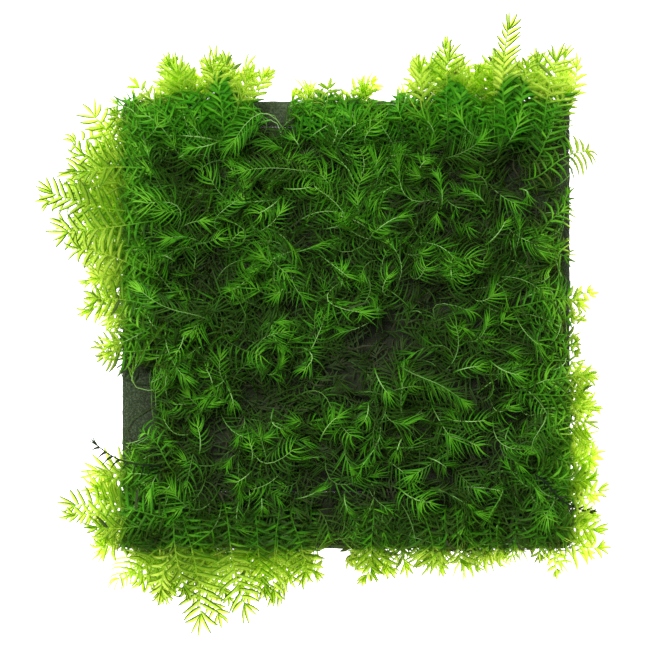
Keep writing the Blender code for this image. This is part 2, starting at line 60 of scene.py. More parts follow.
# The pad, from the frame, and the photograph's own frame in its pixels
PAD_LOW, PAD_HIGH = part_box("foam_pad")
PAD_SIDE = PAD_HIGH.x - PAD_LOW.x
PAD_HALF = PAD_SIDE / 2
FOAM_TOP = PAD_HIGH.z
PHOTO_SIDE_PX = 650
PAD_MIDDLE_PX = (346.0, 325.0)
PAD_SIDE_PX = 446.0
PHOTO_PIXEL = PAD_SIDE / PAD_SIDE_PX

# The carpet's form, in metres, the same as its solid's
CARPET_HALF = 0.0394
CARPET_LIP = 0.0012
CARPET_FULL = 0.0064
CARPET_LEAST = 0.0012
CARPET_SHOULDER = 0.0085
CARPET_RIPPLE = 0.0008
RIPPLE_LENGTHS = ((0.0090, 0.0190), (0.0077, 0.0242))

# How a shoot's leaves change along it, and the fan of leaves at its tip
LEAF_ANGLE_CURVE = 1.5
LEAF_END_SHARE = 0.70
TIP_LEAF_SHARE = 0.80
TIP_FAN_ANGLES = (0.60, 0.58, 0.30, 0.28, 0.02)
TIP_FAN_SIDES = (-1.0, 1.0, -1.0, 1.0, 1.0)
TIP_FAN_LENGTHS = (1.04, 1.10, 1.0, 1.05, 0.98)
TIP_FAN_STEPS = (0.0012, 0.0009, 0.0006, 0.0003, 0.0)
TIP_FAN_WIDTH = 0.80
BUD_START = 0.80
# A stem's foot springs this high over the foam and is laid in this many steps
FOOT_HEIGHT = 0.0004
FOOT_STEPS = 4
# Past these angles in degrees an edge stays sharp, on the moss and on the pad and its lines
LEAF_CREASE = 50
HARD_CREASE = 60
# A leaf differs from its shoot's other leaves by this share of what shoots differ by
LEAF_UNEVENNESS = 0.50
# Over the pad leaves stand closer and more on edge, and little light comes up through them
PAD_NARROWING = 0.40
SHADE_START = PAD_HALF - 0.0008
SHADE_END = PAD_HALF + 0.0012
SHADE_BY_HEIGHT = 0.20
SHADE_WAVER = 0.0016
WAVER_SIZE = 0.0022
# Over the pad the leaves' colour is painted this much darker: painted shade
SHADED_TONE = 0.20
SHADED_SHARE = 0.72
# Near the edges the pad's moss is painted brighter: painted light for the table's glow that it still catches
EDGE_LIGHT_START = PAD_HALF - 0.0060
EDGE_LIGHT_END = PAD_HALF - 0.0002
EDGE_LIGHT = 0.38
EDGE_LIGHT_FROM_FOOT = (0.002, 0.012)
# Past the top edge thick growth keeps the table's light out further: a little all along, in
# patches and grain of these sizes, and much in a few clumps, each given by its middle and half
# width in the photograph and by its reach
THICK_START = PAD_HALF - 0.0030
THICK_REACH = 0.0014
THICK_PATCH = 0.0060
THICK_GRAIN = 0.0016
THICK_CLUMPS = ((513, 24, 0.0040), (453, 16, 0.0030), (222, 14, 0.0042))
# The moss along the top edge is a deeper, purer green from here outwards
VIVID_START = PAD_HALF - 0.0120
VIVID_END = PAD_HALF - 0.0010
# Leaves show their dark margins where they stand in the open, and less where they crowd. They
# show least past the top and right edges, where the growth is thinner and brighter
OPEN_START = PAD_HALF + 0.0030
OPEN_END = PAD_HALF + 0.0100
CROWDED_OUTLINE_LOSS = 0.35
FAR_OUTLINE_LOSS = 0.50
# Past the edge the light behind the leaves draws their dark margins this much wider
OPEN_MARGIN = 0.16
# Leaves with nothing but the table behind them let this much less of its light through
OPEN_LOSS = 0.14
# Out there duller leaves let this much less light through, and stay in shade further out
DULL_LOSS = 0.10
DULL_REACH = 0.0012


def from_photo(points_px: Array) -> Array:
    """Turn points of the photograph into metres from the pad's middle.

    Args:
        points_px: columns and rows in pixels, in the last axis.

    Returns:
        The same points as x and y in metres.
    """
    points = np.asarray(points_px, float)
    across = (points[..., 0] - PAD_MIDDLE_PX[0]) * PHOTO_PIXEL
    up = (PAD_MIDDLE_PX[1] - points[..., 1]) * PHOTO_PIXEL
    return np.stack([across, up], axis=-1)


def unit(vectors: Array) -> Array:
    """Scale vectors to length one, along the last axis."""
    return vectors / np.linalg.norm(vectors, axis=-1, keepdims=True)


def smooth_step(values: Array, start: float, end: float) -> Array:
    """Rise smoothly from nought at start to one at end."""
    share = np.clip((values - start) / (end - start), 0.0, 1.0)
    return share * share * (3 - 2 * share)


@dataclass(frozen=True)
class Tuft:
    """A place where the carpet stands higher, or lower where its rise is negative."""

    middle_px: tuple[float, float]
    radius_px: float
    rise: float


def tufts(*rows: tuple[float, ...]) -> tuple[Tuft, ...]:
    """Read rows of a middle's column and row, a radius and a rise."""
    return tuple(Tuft(row[:2], *row[2:]) for row in rows)


TUFTS = tufts(
    (225, 110, 45, 0.0024), (520, 105, 50, 0.0028), (440, 112, 30, 0.0018), (145, 165, 40, 0.0022),
    (150, 228, 30, 0.0016), (160, 310, 32, 0.0015), (150, 508, 34, 0.0020), (205, 540, 38, 0.0022),
    (488, 533, 26, 0.0026), (550, 400, 34, 0.0020), (522, 452, 24, 0.0020), (487, 185, 24, 0.0016),
    (262, 268, 30, 0.0014), (425, 300, 34, 0.0010), (430, 440, 30, 0.0012), (300, 420, 30, 0.0010),
    (530, 205, 18, -0.0034), (470, 215, 15, -0.0026), (220, 425, 22, -0.0030), (512, 518, 18, -0.0042),
    (205, 500, 16, -0.0028), (390, 285, 16, -0.0024), (310, 330, 16, -0.0022), (172, 402, 26, -0.0028),
    (468, 345, 18, -0.0022), (455, 495, 22, -0.0028), (378, 150, 18, -0.0020), (515, 332, 15, -0.0026),
)
# Places where the growth is thicker and fresher, or thinner and older where it is negative
FRESH_PATCHES = tufts(
    (165, 122, 20, 0.5), (198, 148, 16, 0.9), (140, 172, 16, 0.8), (160, 208, 18, 0.9),
    (250, 170, 28, 0.5), (320, 180, 26, 0.6), (332, 212, 18, 0.5), (385, 168, 16, 0.6),
    (438, 185, 24, 0.6), (393, 213, 16, 0.6), (295, 128, 20, 0.5), (387, 134, 16, 0.6),
    (250, 262, 18, 0.4), (340, 275, 18, 0.4), (376, 300, 18, 0.3), (280, 340, 18, 0.9),
    (184, 339, 18, 0.8), (213, 378, 22, 0.5), (155, 308, 18, 0.7), (525, 380, 24, 0.4),
    (528, 440, 22, 1.1), (545, 395, 20, 0.5), (340, 424, 18, 0.4), (432, 400, 18, 0.8),
    (252, 445, 18, 0.6), (195, 412, 16, 0.5), (340, 490, 16, 0.5), (420, 500, 20, 0.4),
    (252, 500, 16, 0.3), (148, 488, 20, 0.6), (160, 250, 20, 0.5), (550, 300, 24, 0.5),
    (482, 536, 20, 0.9), (445, 245, 14, 0.5), (235, 230, 25, 0.3), (508, 208, 12, 0.4),
    (190, 205, 20, -0.5), (515, 172, 24, -0.8), (538, 202, 18, -0.8), (467, 212, 18, -0.8),
    (405, 240, 22, -0.3), (438, 297, 20, -1.0), (247, 330, 18, -1.1), (300, 310, 20, -0.8),
    (360, 350, 26, -0.9), (395, 335, 18, -0.8), (266, 405, 16, -0.9), (218, 440, 20, -1.1),
    (205, 500, 20, -0.8), (238, 506, 14, -0.6), (316, 490, 18, -1.0), (165, 395, 18, -0.4),
    (485, 455, 22, -0.9), (512, 518, 20, -1.0), (385, 503, 18, -0.7), (450, 505, 20, -0.6),
    (362, 458, 20, -0.3), (275, 522, 16, -0.5), (186, 310, 14, -0.5), (498, 126, 16, -0.5),
    (390, 286, 14, 0.5), (420, 438, 16, -0.5), (335, 540, 18, -0.6), (430, 534, 16, -0.5),
    (291, 172, 16, 0.4), (486, 276, 20, 0.3), (350, 388, 26, -0.4), (500, 335, 26, -0.1),
    (146, 226, 16, -0.6), (372, 395, 90, -0.28), (230, 165, 100, 0.16), (440, 160, 60, 0.12),
)


def bell_sum(tufts: tuple[Tuft, ...], places: Array) -> Array:
    """Add up bell-shaped rises at places of x and y: rise times exp(-(distance / radius)^2).

    Args:
        tufts: the rises.
        places: x and y in the last axis.

    Returns:
        The sum at each place.
    """
    rise = np.zeros(places.shape[:-1])
    for tuft in tufts:
        distance = np.linalg.norm(places - from_photo(tuft.middle_px), axis=-1)
        rise += tuft.rise * np.exp(-((distance / (tuft.radius_px * PHOTO_PIXEL)) ** 2))
    return rise


def carpet_height(places: Array) -> Array:
    """How high the moss stands over the foam.

    A quarter sine lifts it over the shoulder, from the lip at the edge to its full height, on
    which the tufts and two crossed waves stand.

    Args:
        places: x and y in the last axis.

    Returns:
        The height over the foam at each place, in metres.
    """
    x, y = places[..., 0], places[..., 1]
    edge = np.clip((CARPET_HALF - np.maximum(abs(x), abs(y))) / CARPET_SHOULDER, 0.0, 1.0)
    (first_across, first_up), (second_up, second_across) = RIPPLE_LENGTHS
    waves = np.sin(math.tau * (x / first_across + y / first_up))
    waves += np.sin(math.tau * (y / second_up - x / second_across))
    full = CARPET_FULL + bell_sum(TUFTS, places) + CARPET_RIPPLE * waves
    return np.maximum(CARPET_LEAST, CARPET_LIP + (full - CARPET_LIP) * np.sin(edge * math.pi / 2))


def put_in_scene(name: str, data: bpy.types.ID) -> bpy.types.Object:
    """Make an object of a mesh, a light or a camera and link it to the scene."""
    thing = bpy.data.objects.new(name, data)
    bpy.context.scene.collection.objects.link(thing)
    return thing


@dataclass
class Surface:
    """Points and faces gathered from several worked-out surfaces, with two colour guides each.

    place holds how far along and across its leaf a point is and whether it is on a stem, and
    tone holds how bright, how dry and how thin the leaf is there.
    """

    points: list[Array] = field(default_factory=list)
    quads: list[Array] = field(default_factory=list)
    triangles: list[Array] = field(default_factory=list)
    place: list[Array] = field(default_factory=list)
    tone: list[Array] = field(default_factory=list)
    total: int = 0

    def add(self, points: Array, quads: Array, triangles: Array, place: Array | None = None,
            tone: Array | None = None) -> None:
        """Add one surface.

        Args:
            points: N by 3 places in metres.
            quads: faces of four, as indices of these points.
            triangles: faces of three, in the same way.
            place: N by 3 leaf places, nought where left out.
            tone: N by 3 leaf tones, nought where left out.
        """
        self.quads.append(quads + self.total)
        self.triangles.append(triangles + self.total)
        self.points.append(points)
        self.place.append(np.zeros_like(points) if place is None else place)
        self.tone.append(np.zeros_like(points) if tone is None else tone)
        self.total += len(points)

    def to_piece(self, name: str, finish: bpy.types.Material, slot: str, solid: str = "",
                 crease: float = LEAF_CREASE) -> None:
        """Write the gathered surfaces to one mesh object, at the origin, that rides on the pad.

        Args:
            name: the object's name.
            finish: its material.
            slot: the record's slot that it takes its finish from; it is not used.
            solid: the solid that it stands for, if any.
            crease: the angle in degrees past which an edge stays sharp.
        """
        points = np.concatenate(self.points)
        quads = np.concatenate(self.quads).astype(np.int32)
        triangles = np.concatenate(self.triangles).astype(np.int32)
        corners = np.concatenate([quads.ravel(), triangles.ravel()])
        sides = np.concatenate([np.full(len(quads), 4), np.full(len(triangles), 3)])
        starts = np.concatenate([[0], np.cumsum(sides)[:-1]]).astype(np.int32)
        mesh = bpy.data.meshes.new(name)
        mesh.vertices.add(len(points))
        mesh.vertices.foreach_set("co", points.ravel())
        mesh.loops.add(len(corners))
        mesh.loops.foreach_set("vertex_index", corners)
        mesh.polygons.add(len(starts))
        mesh.polygons.foreach_set("loop_start", starts)
        mesh.update(calc_edges=True)
        for guide, values in (("leaf_place", self.place), ("leaf_tone", self.tone)):
            layer = mesh.attributes.new(guide, "FLOAT_VECTOR", "POINT")
            layer.data.foreach_set("vector", np.concatenate(values).ravel())
        mesh.shade_smooth()
        mesh.set_sharp_from_angle(angle=math.radians(crease))
        mesh.materials.append(finish)
        piece = put_in_scene(name, mesh)
        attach(piece, "root")
        if solid:
            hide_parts(solid)
        log.info("%s: %d triangles", name, 2 * len(quads) + len(triangles))


def grid_quads(rows: int, columns: int, closed_rows: bool = False) -> Array:
    """Faces between neighbouring points of a grid whose columns run round and close.

    Args:
        rows: how many rings there are.
        columns: how many points a ring has.
        closed_rows: whether the last ring joins the first.

    Returns:
        Faces of four, facing out where the rings run anticlockwise about the rows' way.
    """
    ring = np.arange(rows * columns).reshape(rows, columns)
    after = np.roll(ring, -1, axis=0)
    if not closed_rows:
        ring, after = ring[:-1], after[:-1]
    faces = [ring, np.roll(ring, -1, axis=1), np.roll(after, -1, axis=1), after]
    return np.stack(faces, axis=-1).reshape(-1, 4)


def end_triangles(rows: int, columns: int) -> Array:
    """Faces that close such a grid's first and last ring on two points that follow its own.

    Args:
        rows: how many rings there are.
        columns: how many points a ring has.

    Returns:
        Faces of three, for the first ring and then for the last.
    """
    here = np.arange(columns)
    after = np.roll(here, -1)
    total = rows * columns
    first = np.stack([np.full(columns, total), after, here], axis=1)
    shift = total - columns
    last = np.stack([here + shift, after + shift, np.full(columns, total + 1)], axis=1)
    return np.concatenate([first, last])


def repeat_faces(faces: Array, copies: int, step: int) -> Array:
    """The same faces for every copy of a shape whose points follow each other.

    Args:
        faces: the first copy's faces.
        copies: how many shapes there are.
        step: how many points one shape has.

    Returns:
        All faces, in one list.
    """
    shift = np.arange(copies)[:, None, None] * step
    return (faces[None] + shift).reshape(-1, faces.shape[1])


@dataclass
class Leaves:
    """A number of leaves, each entry an array with one row a leaf."""

    foot: Array
    along: Array
    outward: Array
    face: Array
    side: Array
    angle: Array
    length: Array
    width: Array
    curl: Array
    sag: Array
    twist: Array
    tone: Array

    def kept(self, mask: Array) -> "Leaves":
        """The leaves for which the mask is true."""
        return Leaves(**{name: values[mask] for name, values in vars(self).items()})

    def middle_line(self, share: Array) -> tuple[Array, Array]:
        """Where each leaf's middle runs.

        A leaf is an arc: its angle from the stem turns evenly by curl along it, so its place is
        the integral of that turning direction, less a sag that grows with the square of share.

        Args:
            share: shares of the leaf's length.

        Returns:
            Places and unit directions, leaves by shares by 3.
        """
        turn = np.where(abs(self.curl) < 1e-3, 1e-3, self.curl)[:, None]
        start = self.angle[:, None] + turn / 2
        angle = start - turn * share
        forward = (np.sin(start) - np.sin(angle)) / turn
        sideways = (np.cos(angle) - np.cos(start)) / turn
        along, outward, face = (v[:, None, :] for v in (self.along, self.outward, self.face))
        reach = along * forward[..., None] + outward * sideways[..., None]
        sag = self.sag[:, None, None] * share[:, None]
        places = self.foot[:, None] + self.length[:, None, None] * (reach - face * sag * share[:, None])
        direction = along * np.cos(angle)[..., None] + outward * np.sin(angle)[..., None] - face * 2 * sag
        return places, unit(direction)

    def tips(self) -> Array:
        """Where each leaf ends."""
        return self.middle_line(np.array((1.0,)))[0][:, 0]


@dataclass(frozen=True)
class Blade:
    """The form of one leaf: rings of three points, the two margins and the midrib between them."""

    rings: tuple[float, ...] = (0.0, 0.22, 0.5, 0.78)
    base_share: float = 0.45
    widest: float = 0.35
    taper: float = 1.8
    keel: float = 0.00007

    def half_width(self, share: Array) -> Array:
        """Half the leaf's width, as a share of its greatest: widens soon, then runs to a point."""
        opening = self.base_share + (1 - self.base_share) * smooth_step(share, 0.0, self.widest)
        return 0.5 * opening * (1 - np.clip(share, 0, 1) ** self.taper)

    def add_to(self, surface: Surface, leaves: Leaves) -> None:
        """Work out every leaf as a closed blade and add them all.

        Each ring is a flat triangle: both margins stand half the width from the middle line, and
        the midrib stands the keel's height over it. The rings run to one point at the leaf's tip.

        Args:
            surface: what the blades are added to.
            leaves: the leaves.
        """
        rings = np.array(self.rings)
        places, direction = leaves.middle_line(np.append(rings, 1.0))
        wide = unit(np.cross(leaves.face[:, None], direction[:, :-1]))
        normal = np.cross(direction[:, :-1], wide)
        twist = leaves.twist[:, None, None] * rings[:, None]
        wide, normal = (
            wide * np.cos(twist) + normal * np.sin(twist),
            normal * np.cos(twist) - wide * np.sin(twist),
        )
        middle = places[:, :-1]
        half = leaves.width[:, None, None] * self.half_width(rings)[:, None]
        lift = self.keel * (1 - 0.7 * rings)[:, None]
        section = np.stack([middle - wide * half, middle + wide * half, middle + normal * lift], axis=2)
        count, last = len(leaves.foot), 3 * len(rings)
        points = np.concatenate([section.reshape(count, last, 3), places[:, -1:]], axis=1)
        quads = grid_quads(len(rings), 3)
        tip = np.array([(last - 3 + step, last - 3 + (step + 1) % 3, last) for step in range(3)])
        triangles = np.concatenate([np.array(((0, 2, 1),)), tip])
        place = np.zeros((count, last + 1, 3))
        place[:, :, 0] = np.append(np.repeat(rings, 3), 1.0)
        place[:, :, 1] = leaves.side[:, None] * np.append(np.tile((-1.0, 1.0, 0.0), len(rings)), 0.0)
        tone = np.repeat(leaves.tone[:, None], last + 1, axis=1)
        surface.add(
            points.reshape(-1, 3),
            repeat_faces(quads, count, last + 1),
            repeat_faces(triangles, count, last + 1),
            place.reshape(-1, 3),
            tone.reshape(-1, 3),
        )


@dataclass(frozen=True)
class Habit:
    """How the leaves of one kind of shoot grow. Lengths in metres, angles in radians."""

    pitch: float = 0.00146
    width: float = 0.00088
    base_angle: float = 1.24
    tip_angle: float = 0.88
    curl: float = -0.42
    curl_spread: float = 0.50
    angle_spread: float = 0.15
    sag: float = 0.08
    sag_spread: float = 0.12
    twist: float = 0.22
    crowding: float = 0.94
    stem: float = 0.00016
    stem_steps: int = 12
    stem_sides: int = 5
    tone: float = 0.6
    tone_spread: float = 0.20
    youth: float = 0.2
    bud: float = 0.0
    brown: float = 0.01
    thin: float = 1.0
    fan: int = 3
    fan_spread: float = 1.65
    blade: Blade = Blade(taper=3.2)


FRINGE_HABIT = Habit()
RIM_HABIT = replace(
    FRINGE_HABIT, pitch=0.00160, width=0.00086, stem_steps=8, stem_sides=4, curl_spread=0.6,
    angle_spread=0.20, twist=0.30, tone_spread=0.20,
)
UPPER_HABIT = Habit(
    pitch=0.00084, width=0.00038, base_angle=0.98, tip_angle=0.48, curl=0.35, curl_spread=0.8,
    angle_spread=0.14, sag=0.06, sag_spread=0.16, twist=0.7, crowding=0.9, tone=0.54,
    tone_spread=0.12, youth=0.55, bud=0.50, thin=0.9, stem=0.00011, stem_steps=8, stem_sides=4,
    fan=5, fan_spread=1.0, blade=Blade(taper=1.7),
)
MIDDLE_HABIT = replace(UPPER_HABIT, pitch=0.00096, tone=0.42, youth=0.3, brown=0.03, thin=0.8)
LOWER_HABIT = replace(
    MIDDLE_HABIT, pitch=0.00115, width=0.00048, curl_spread=0.8, tone=0.28, tone_spread=0.07,
    youth=0.15, bud=0.1, brown=0.15, thin=0.7, stem_steps=6, stem_sides=3,
    blade=Blade(rings=(0.0, 0.5), taper=2.2),
)
OLD_HABIT = replace(
    LOWER_HABIT, pitch=0.00130, width=0.00048, angle_spread=0.3, tone=0.22, tone_spread=0.04,
    youth=0.05, brown=0.25, thin=0.35,
)
DRY_HABIT = replace(
    FRINGE_HABIT, pitch=0.00170, width=0.00056, curl=0.1, curl_spread=0.4, angle_spread=0.18,
    twist=0.3, tone=0.2, tone_spread=0.1, brown=0.3, thin=0.2, stem=0.00022, fan_spread=1.2,
    blade=Blade(base_share=0.9, widest=0.1, taper=1.0),
)


@dataclass
class Stem:
    """A shoot's stem: the way of its middle, of which the first stretch is its hidden foot."""

    way: Array
    shown_from: float
    roll: float

    def __post_init__(self) -> None:
        """Work out the distances along the way and the frame at each of its points."""
        steps = np.linalg.norm(np.diff(self.way, axis=0), axis=1)
        self.distance = np.concatenate([[0.0], np.cumsum(steps)])
        self.length = float(self.distance[-1])
        self.along = unit(np.gradient(self.way, axis=0))
        across = np.cross(self.way[-1] - self.way[0], UP)
        across = across - self.along * (self.along @ across)[:, None]
        across = unit(across)
        face = np.cross(across, self.along)
        self.right = across * math.cos(self.roll) + face * math.sin(self.roll)
        self.face = np.cross(self.right, self.along)

    def at(self, distances: Array) -> tuple[Array, Array, Array, Array]:
        """Places, directions, rights and faces at distances along the stem.

        Args:
            distances: how far along it, in metres.

        Returns:
            Four arrays with one row a distance.
        """
        def read(values: Array) -> Array:
            return np.stack([np.interp(distances, self.distance, column) for column in values.T], axis=1)

        return read(self.way), unit(read(self.along)), unit(read(self.right)), unit(read(self.face))

    def share(self, distances: Array) -> Array:
        """Turn distances into shares of the stretch that shows, below nought in the foot."""
        return (distances - self.shown_from) / (self.length - self.shown_from)


def grow_stem(root: Array, end: Array, foot: Array | None = None, bow: float = 0.0,
              arch: float = 0.0, roll: float = 0.0, steps: int = 12) -> Stem:
    """Lay a stem from its root to its end, with a foot that comes out of the carpet.

    The shown stretch is straight, plus 4s(1-s) times the bow to its right and the arch upwards.
    The foot is a quadratic curve that meets it in the same direction.

    Args:
        root: where the shown stretch starts, in metres.
        end: where the stem ends.
        foot: where the stem springs from, or None for a stem with no hidden foot.
        bow: the sideways curve as a share of the length.
        arch: how far the middle rises, in metres.
        roll: the turn of the two leaf rows about the stem, in radians.
        steps: how many points the shown stretch has.

    Returns:
        The stem.
    """
    share = np.linspace(0.0, 1.0, steps)[:, None]
    chord = end - root
    hump = 4 * share * (1 - share)
    right = unit(np.cross(chord, UP))
    way = root + chord * share + (right * bow * np.linalg.norm(chord) + UP * arch) * hump
    if foot is None:
        return Stem(way, 0.0, roll)
    reach = float(np.linalg.norm(root - foot))
    behind = root - unit(way[1] - way[0]) * reach * 0.5
    share = np.linspace(0.0, 1.0, FOOT_STEPS, endpoint=False)[:, None]
    hidden = (1 - share) ** 2 * foot + 2 * share * (1 - share) * behind + share ** 2 * root
    return Stem(np.concatenate([hidden, way]), reach, roll)


def stem_tube(surface: Surface, stem: Stem, habit: Habit, tone: float = 0.0) -> None:
    """Carry a ring of points along the stem, narrowing to its end, and close both ends.

    Args:
        surface: what the tube is added to.
        stem: the stem.
        habit: the kind of shoot, which gives the radius and the ring's points.
        tone: how much brighter this stem is than its kind.
    """
    sides = habit.stem_sides
    turn = np.arange(sides) * math.tau / sides
    narrowing = habit.stem * (1 - 0.55 * stem.distance / stem.length)
    ring = np.cos(turn)[:, None] * stem.face[:, None] + np.sin(turn)[:, None] * stem.right[:, None]
    rings = stem.way[:, None] - ring * narrowing[:, None, None]
    rows = len(stem.way)
    points = np.concatenate([rings.reshape(-1, 3), stem.way[:1], stem.way[-1:]])
    place = np.zeros((len(points), 3))
    place[:, 0] = np.concatenate([np.repeat(stem.distance / stem.length, sides), [0.0, 1.0]])
    place[:, 2] = 1.0
    tones = np.tile((min(max(habit.tone + tone, 0.0), 1.0), 0.0, habit.thin), (len(points), 1))
    surface.add(points, grid_quads(rows, sides), end_triangles(rows, sides), place, tones)


def grow_leaves(stem: Stem, habit: Habit, leaf: float, rng: np.random.Generator, tone: float = 0.0,
                sides: tuple[float, float] = (1.0, 1.0)) -> Leaves:
    """Set two rows of leaves on a stem, left and right by turns, and a fan of them at its end.

    A leaf's angle falls from wide at the root to nearly forward at the end, and its length is
    greatest half way.

    Args:
        stem: the stem.
        habit: how this kind of shoot grows.
        leaf: the greatest leaf length, in metres.
        rng: the source of the small differences between leaves.
        tone: how much brighter this shoot is than its kind.
        sides: the left and right rows' lengths as shares of leaf.

    Returns:
        The shoot's leaves.
    """
    count = max(4, round(2 * stem.length / habit.pitch))
    distances = stem.length * ((np.arange(count) + 0.4) / count) ** habit.crowding
    side = np.where(np.arange(count) % 2 == 0, -1.0, 1.0)
    share = stem.share(distances)
    clipped = np.clip(share, 0.0, 1.0)
    angle = habit.base_angle + (habit.tip_angle - habit.base_angle) * clipped ** LEAF_ANGLE_CURVE
    length = leaf * (LEAF_END_SHARE + (1 - LEAF_END_SHARE) * np.sin(math.pi * clipped))
    length = length * np.where(side < 0, sides[0], sides[1])

    fan = habit.fan
    width = np.append(0.75 + 0.25 * np.sqrt(length / leaf), [TIP_FAN_WIDTH] * fan)
    distances = np.append(distances, stem.length - np.array(TIP_FAN_STEPS[-fan:]))
    side = np.append(side, TIP_FAN_SIDES[-fan:])
    share = np.append(share, [1.0] * fan)
    angle = np.append(angle, habit.fan_spread * np.array(TIP_FAN_ANGLES[-fan:]))
    length = np.append(length, leaf * TIP_LEAF_SHARE * np.array(TIP_FAN_LENGTHS[-fan:]))

    total = len(distances)
    foot, along, right, face = stem.at(distances)

    def differ(spread: float) -> Array:
        """How far each leaf is from its kind: the shoot's own share, and a smaller one a leaf."""
        return spread * (rng.normal() + LEAF_UNEVENNESS * rng.normal(size=total))

    brown = rng.random(total) < habit.brown
    youth = np.clip(share, 0.0, 1.0)
    bright = habit.tone + tone + habit.youth * (youth - 0.6) + habit.bud * smooth_step(share, BUD_START, 1.0)
    tones = np.stack([
        bright + rng.normal(0.0, habit.tone_spread, total),
        np.where(brown, rng.uniform(0.4, 0.9, total), 0.0),
        habit.thin * (0.96 + 0.04 * youth),
    ], axis=1)
    over_pad = 1 - smooth_step(np.abs(foot[:, :2]).max(axis=1), PAD_HALF - 0.002, PAD_HALF + 0.001)
    narrow = 1 - PAD_NARROWING * over_pad * smooth_step(np.array(habit.width), 0.0004, 0.0007)
    return Leaves(
        foot=foot,
        along=along,
        outward=right * side[:, None],
        face=face,
        side=side,
        angle=angle + differ(habit.angle_spread),
        length=length * rng.uniform(0.86, 1.08, total),
        width=habit.width * rng.uniform(0.85, 1.12, total) * width * narrow,
        curl=habit.curl + differ(habit.curl_spread),
        sag=habit.sag + differ(habit.sag_spread),
        twist=side * differ(habit.twist),
        tone=np.clip(tones, 0.0, 1.0),
    )


@dataclass
class Growth:
    """A piece of moss in the making: its stems so far, and the leaves that grow on them."""

    habit: Habit
    rng: np.random.Generator
    surface: Surface = field(default_factory=Surface)
    groups: list[Leaves] = field(default_factory=list)

    def shoot(self, stem: Stem, leaf: float, tone: float = 0.0, stem_tone: float = 0.0,
              sides: tuple[float, float] = (1.0, 1.0)) -> None:
        """Grow one shoot: its stem and the leaves on it.

        Args:
            stem: where it runs.
            leaf: the greatest leaf length, in metres.
            tone: how much brighter it is than its kind.
            stem_tone: how much brighter still its stem is.
            sides: the left and right rows' lengths as shares of leaf.
        """
        stem_tube(self.surface, stem, self.habit, tone + stem_tone)
        self.groups.append(grow_leaves(stem, self.habit, leaf, self.rng, tone, sides))

    def leaves(self) -> Leaves:
        """Take the leaves grown so far, in one set."""
        taken, self.groups = [vars(group) for group in self.groups], []
        return Leaves(**{name: np.concatenate([group[name] for group in taken]) for name in taken[0]})

    def add(self, leaves: Leaves) -> None:
        """Work these leaves out as blades."""
        self.habit.blade.add_to(self.surface, leaves)

    def add_clear(self) -> None:
        """Add the leaves grown so far, but none whose tip lies in a bare place."""
        leaves = self.leaves()
        self.add(leaves.kept(clear_of_bare_places(leaves.tips())))


class Wire:
    """One value in a finish's nodes. Python's operators on it add Math nodes."""

    def __init__(self, painter: "Painter", socket: bpy.types.NodeSocket) -> None:
        """Hold a socket and the painter that it belongs to."""
        self.painter = painter
        self.socket = socket

    def __add__(self, other: "Wire | float") -> "Wire":
        """Add."""
        return self.painter.maths("ADD", self, other)

    def __sub__(self, other: "Wire | float") -> "Wire":
        """Take away."""
        return self.painter.maths("SUBTRACT", self, other)

    def __rsub__(self, other: float) -> "Wire":
        """Take this away from a number."""
        return self.painter.maths("SUBTRACT", other, self)

    def __mul__(self, other: "Wire | float") -> "Wire":
        """Multiply."""
        return self.painter.maths("MULTIPLY", self, other)

    def __abs__(self) -> "Wire":
        """Drop the sign."""
        return self.painter.maths("ABSOLUTE", self)

    __radd__ = __add__
    __rmul__ = __mul__

    def step(self, start: float, end: float) -> "Wire":
        """Rise smoothly from nought at start to one at end."""
        settings = {"interpolation_type": "SMOOTHSTEP"}
        inputs = {"Value": self, "From Min": start, "From Max": end}
        return self.painter.node("ShaderNodeMapRange", settings, inputs, "Result")


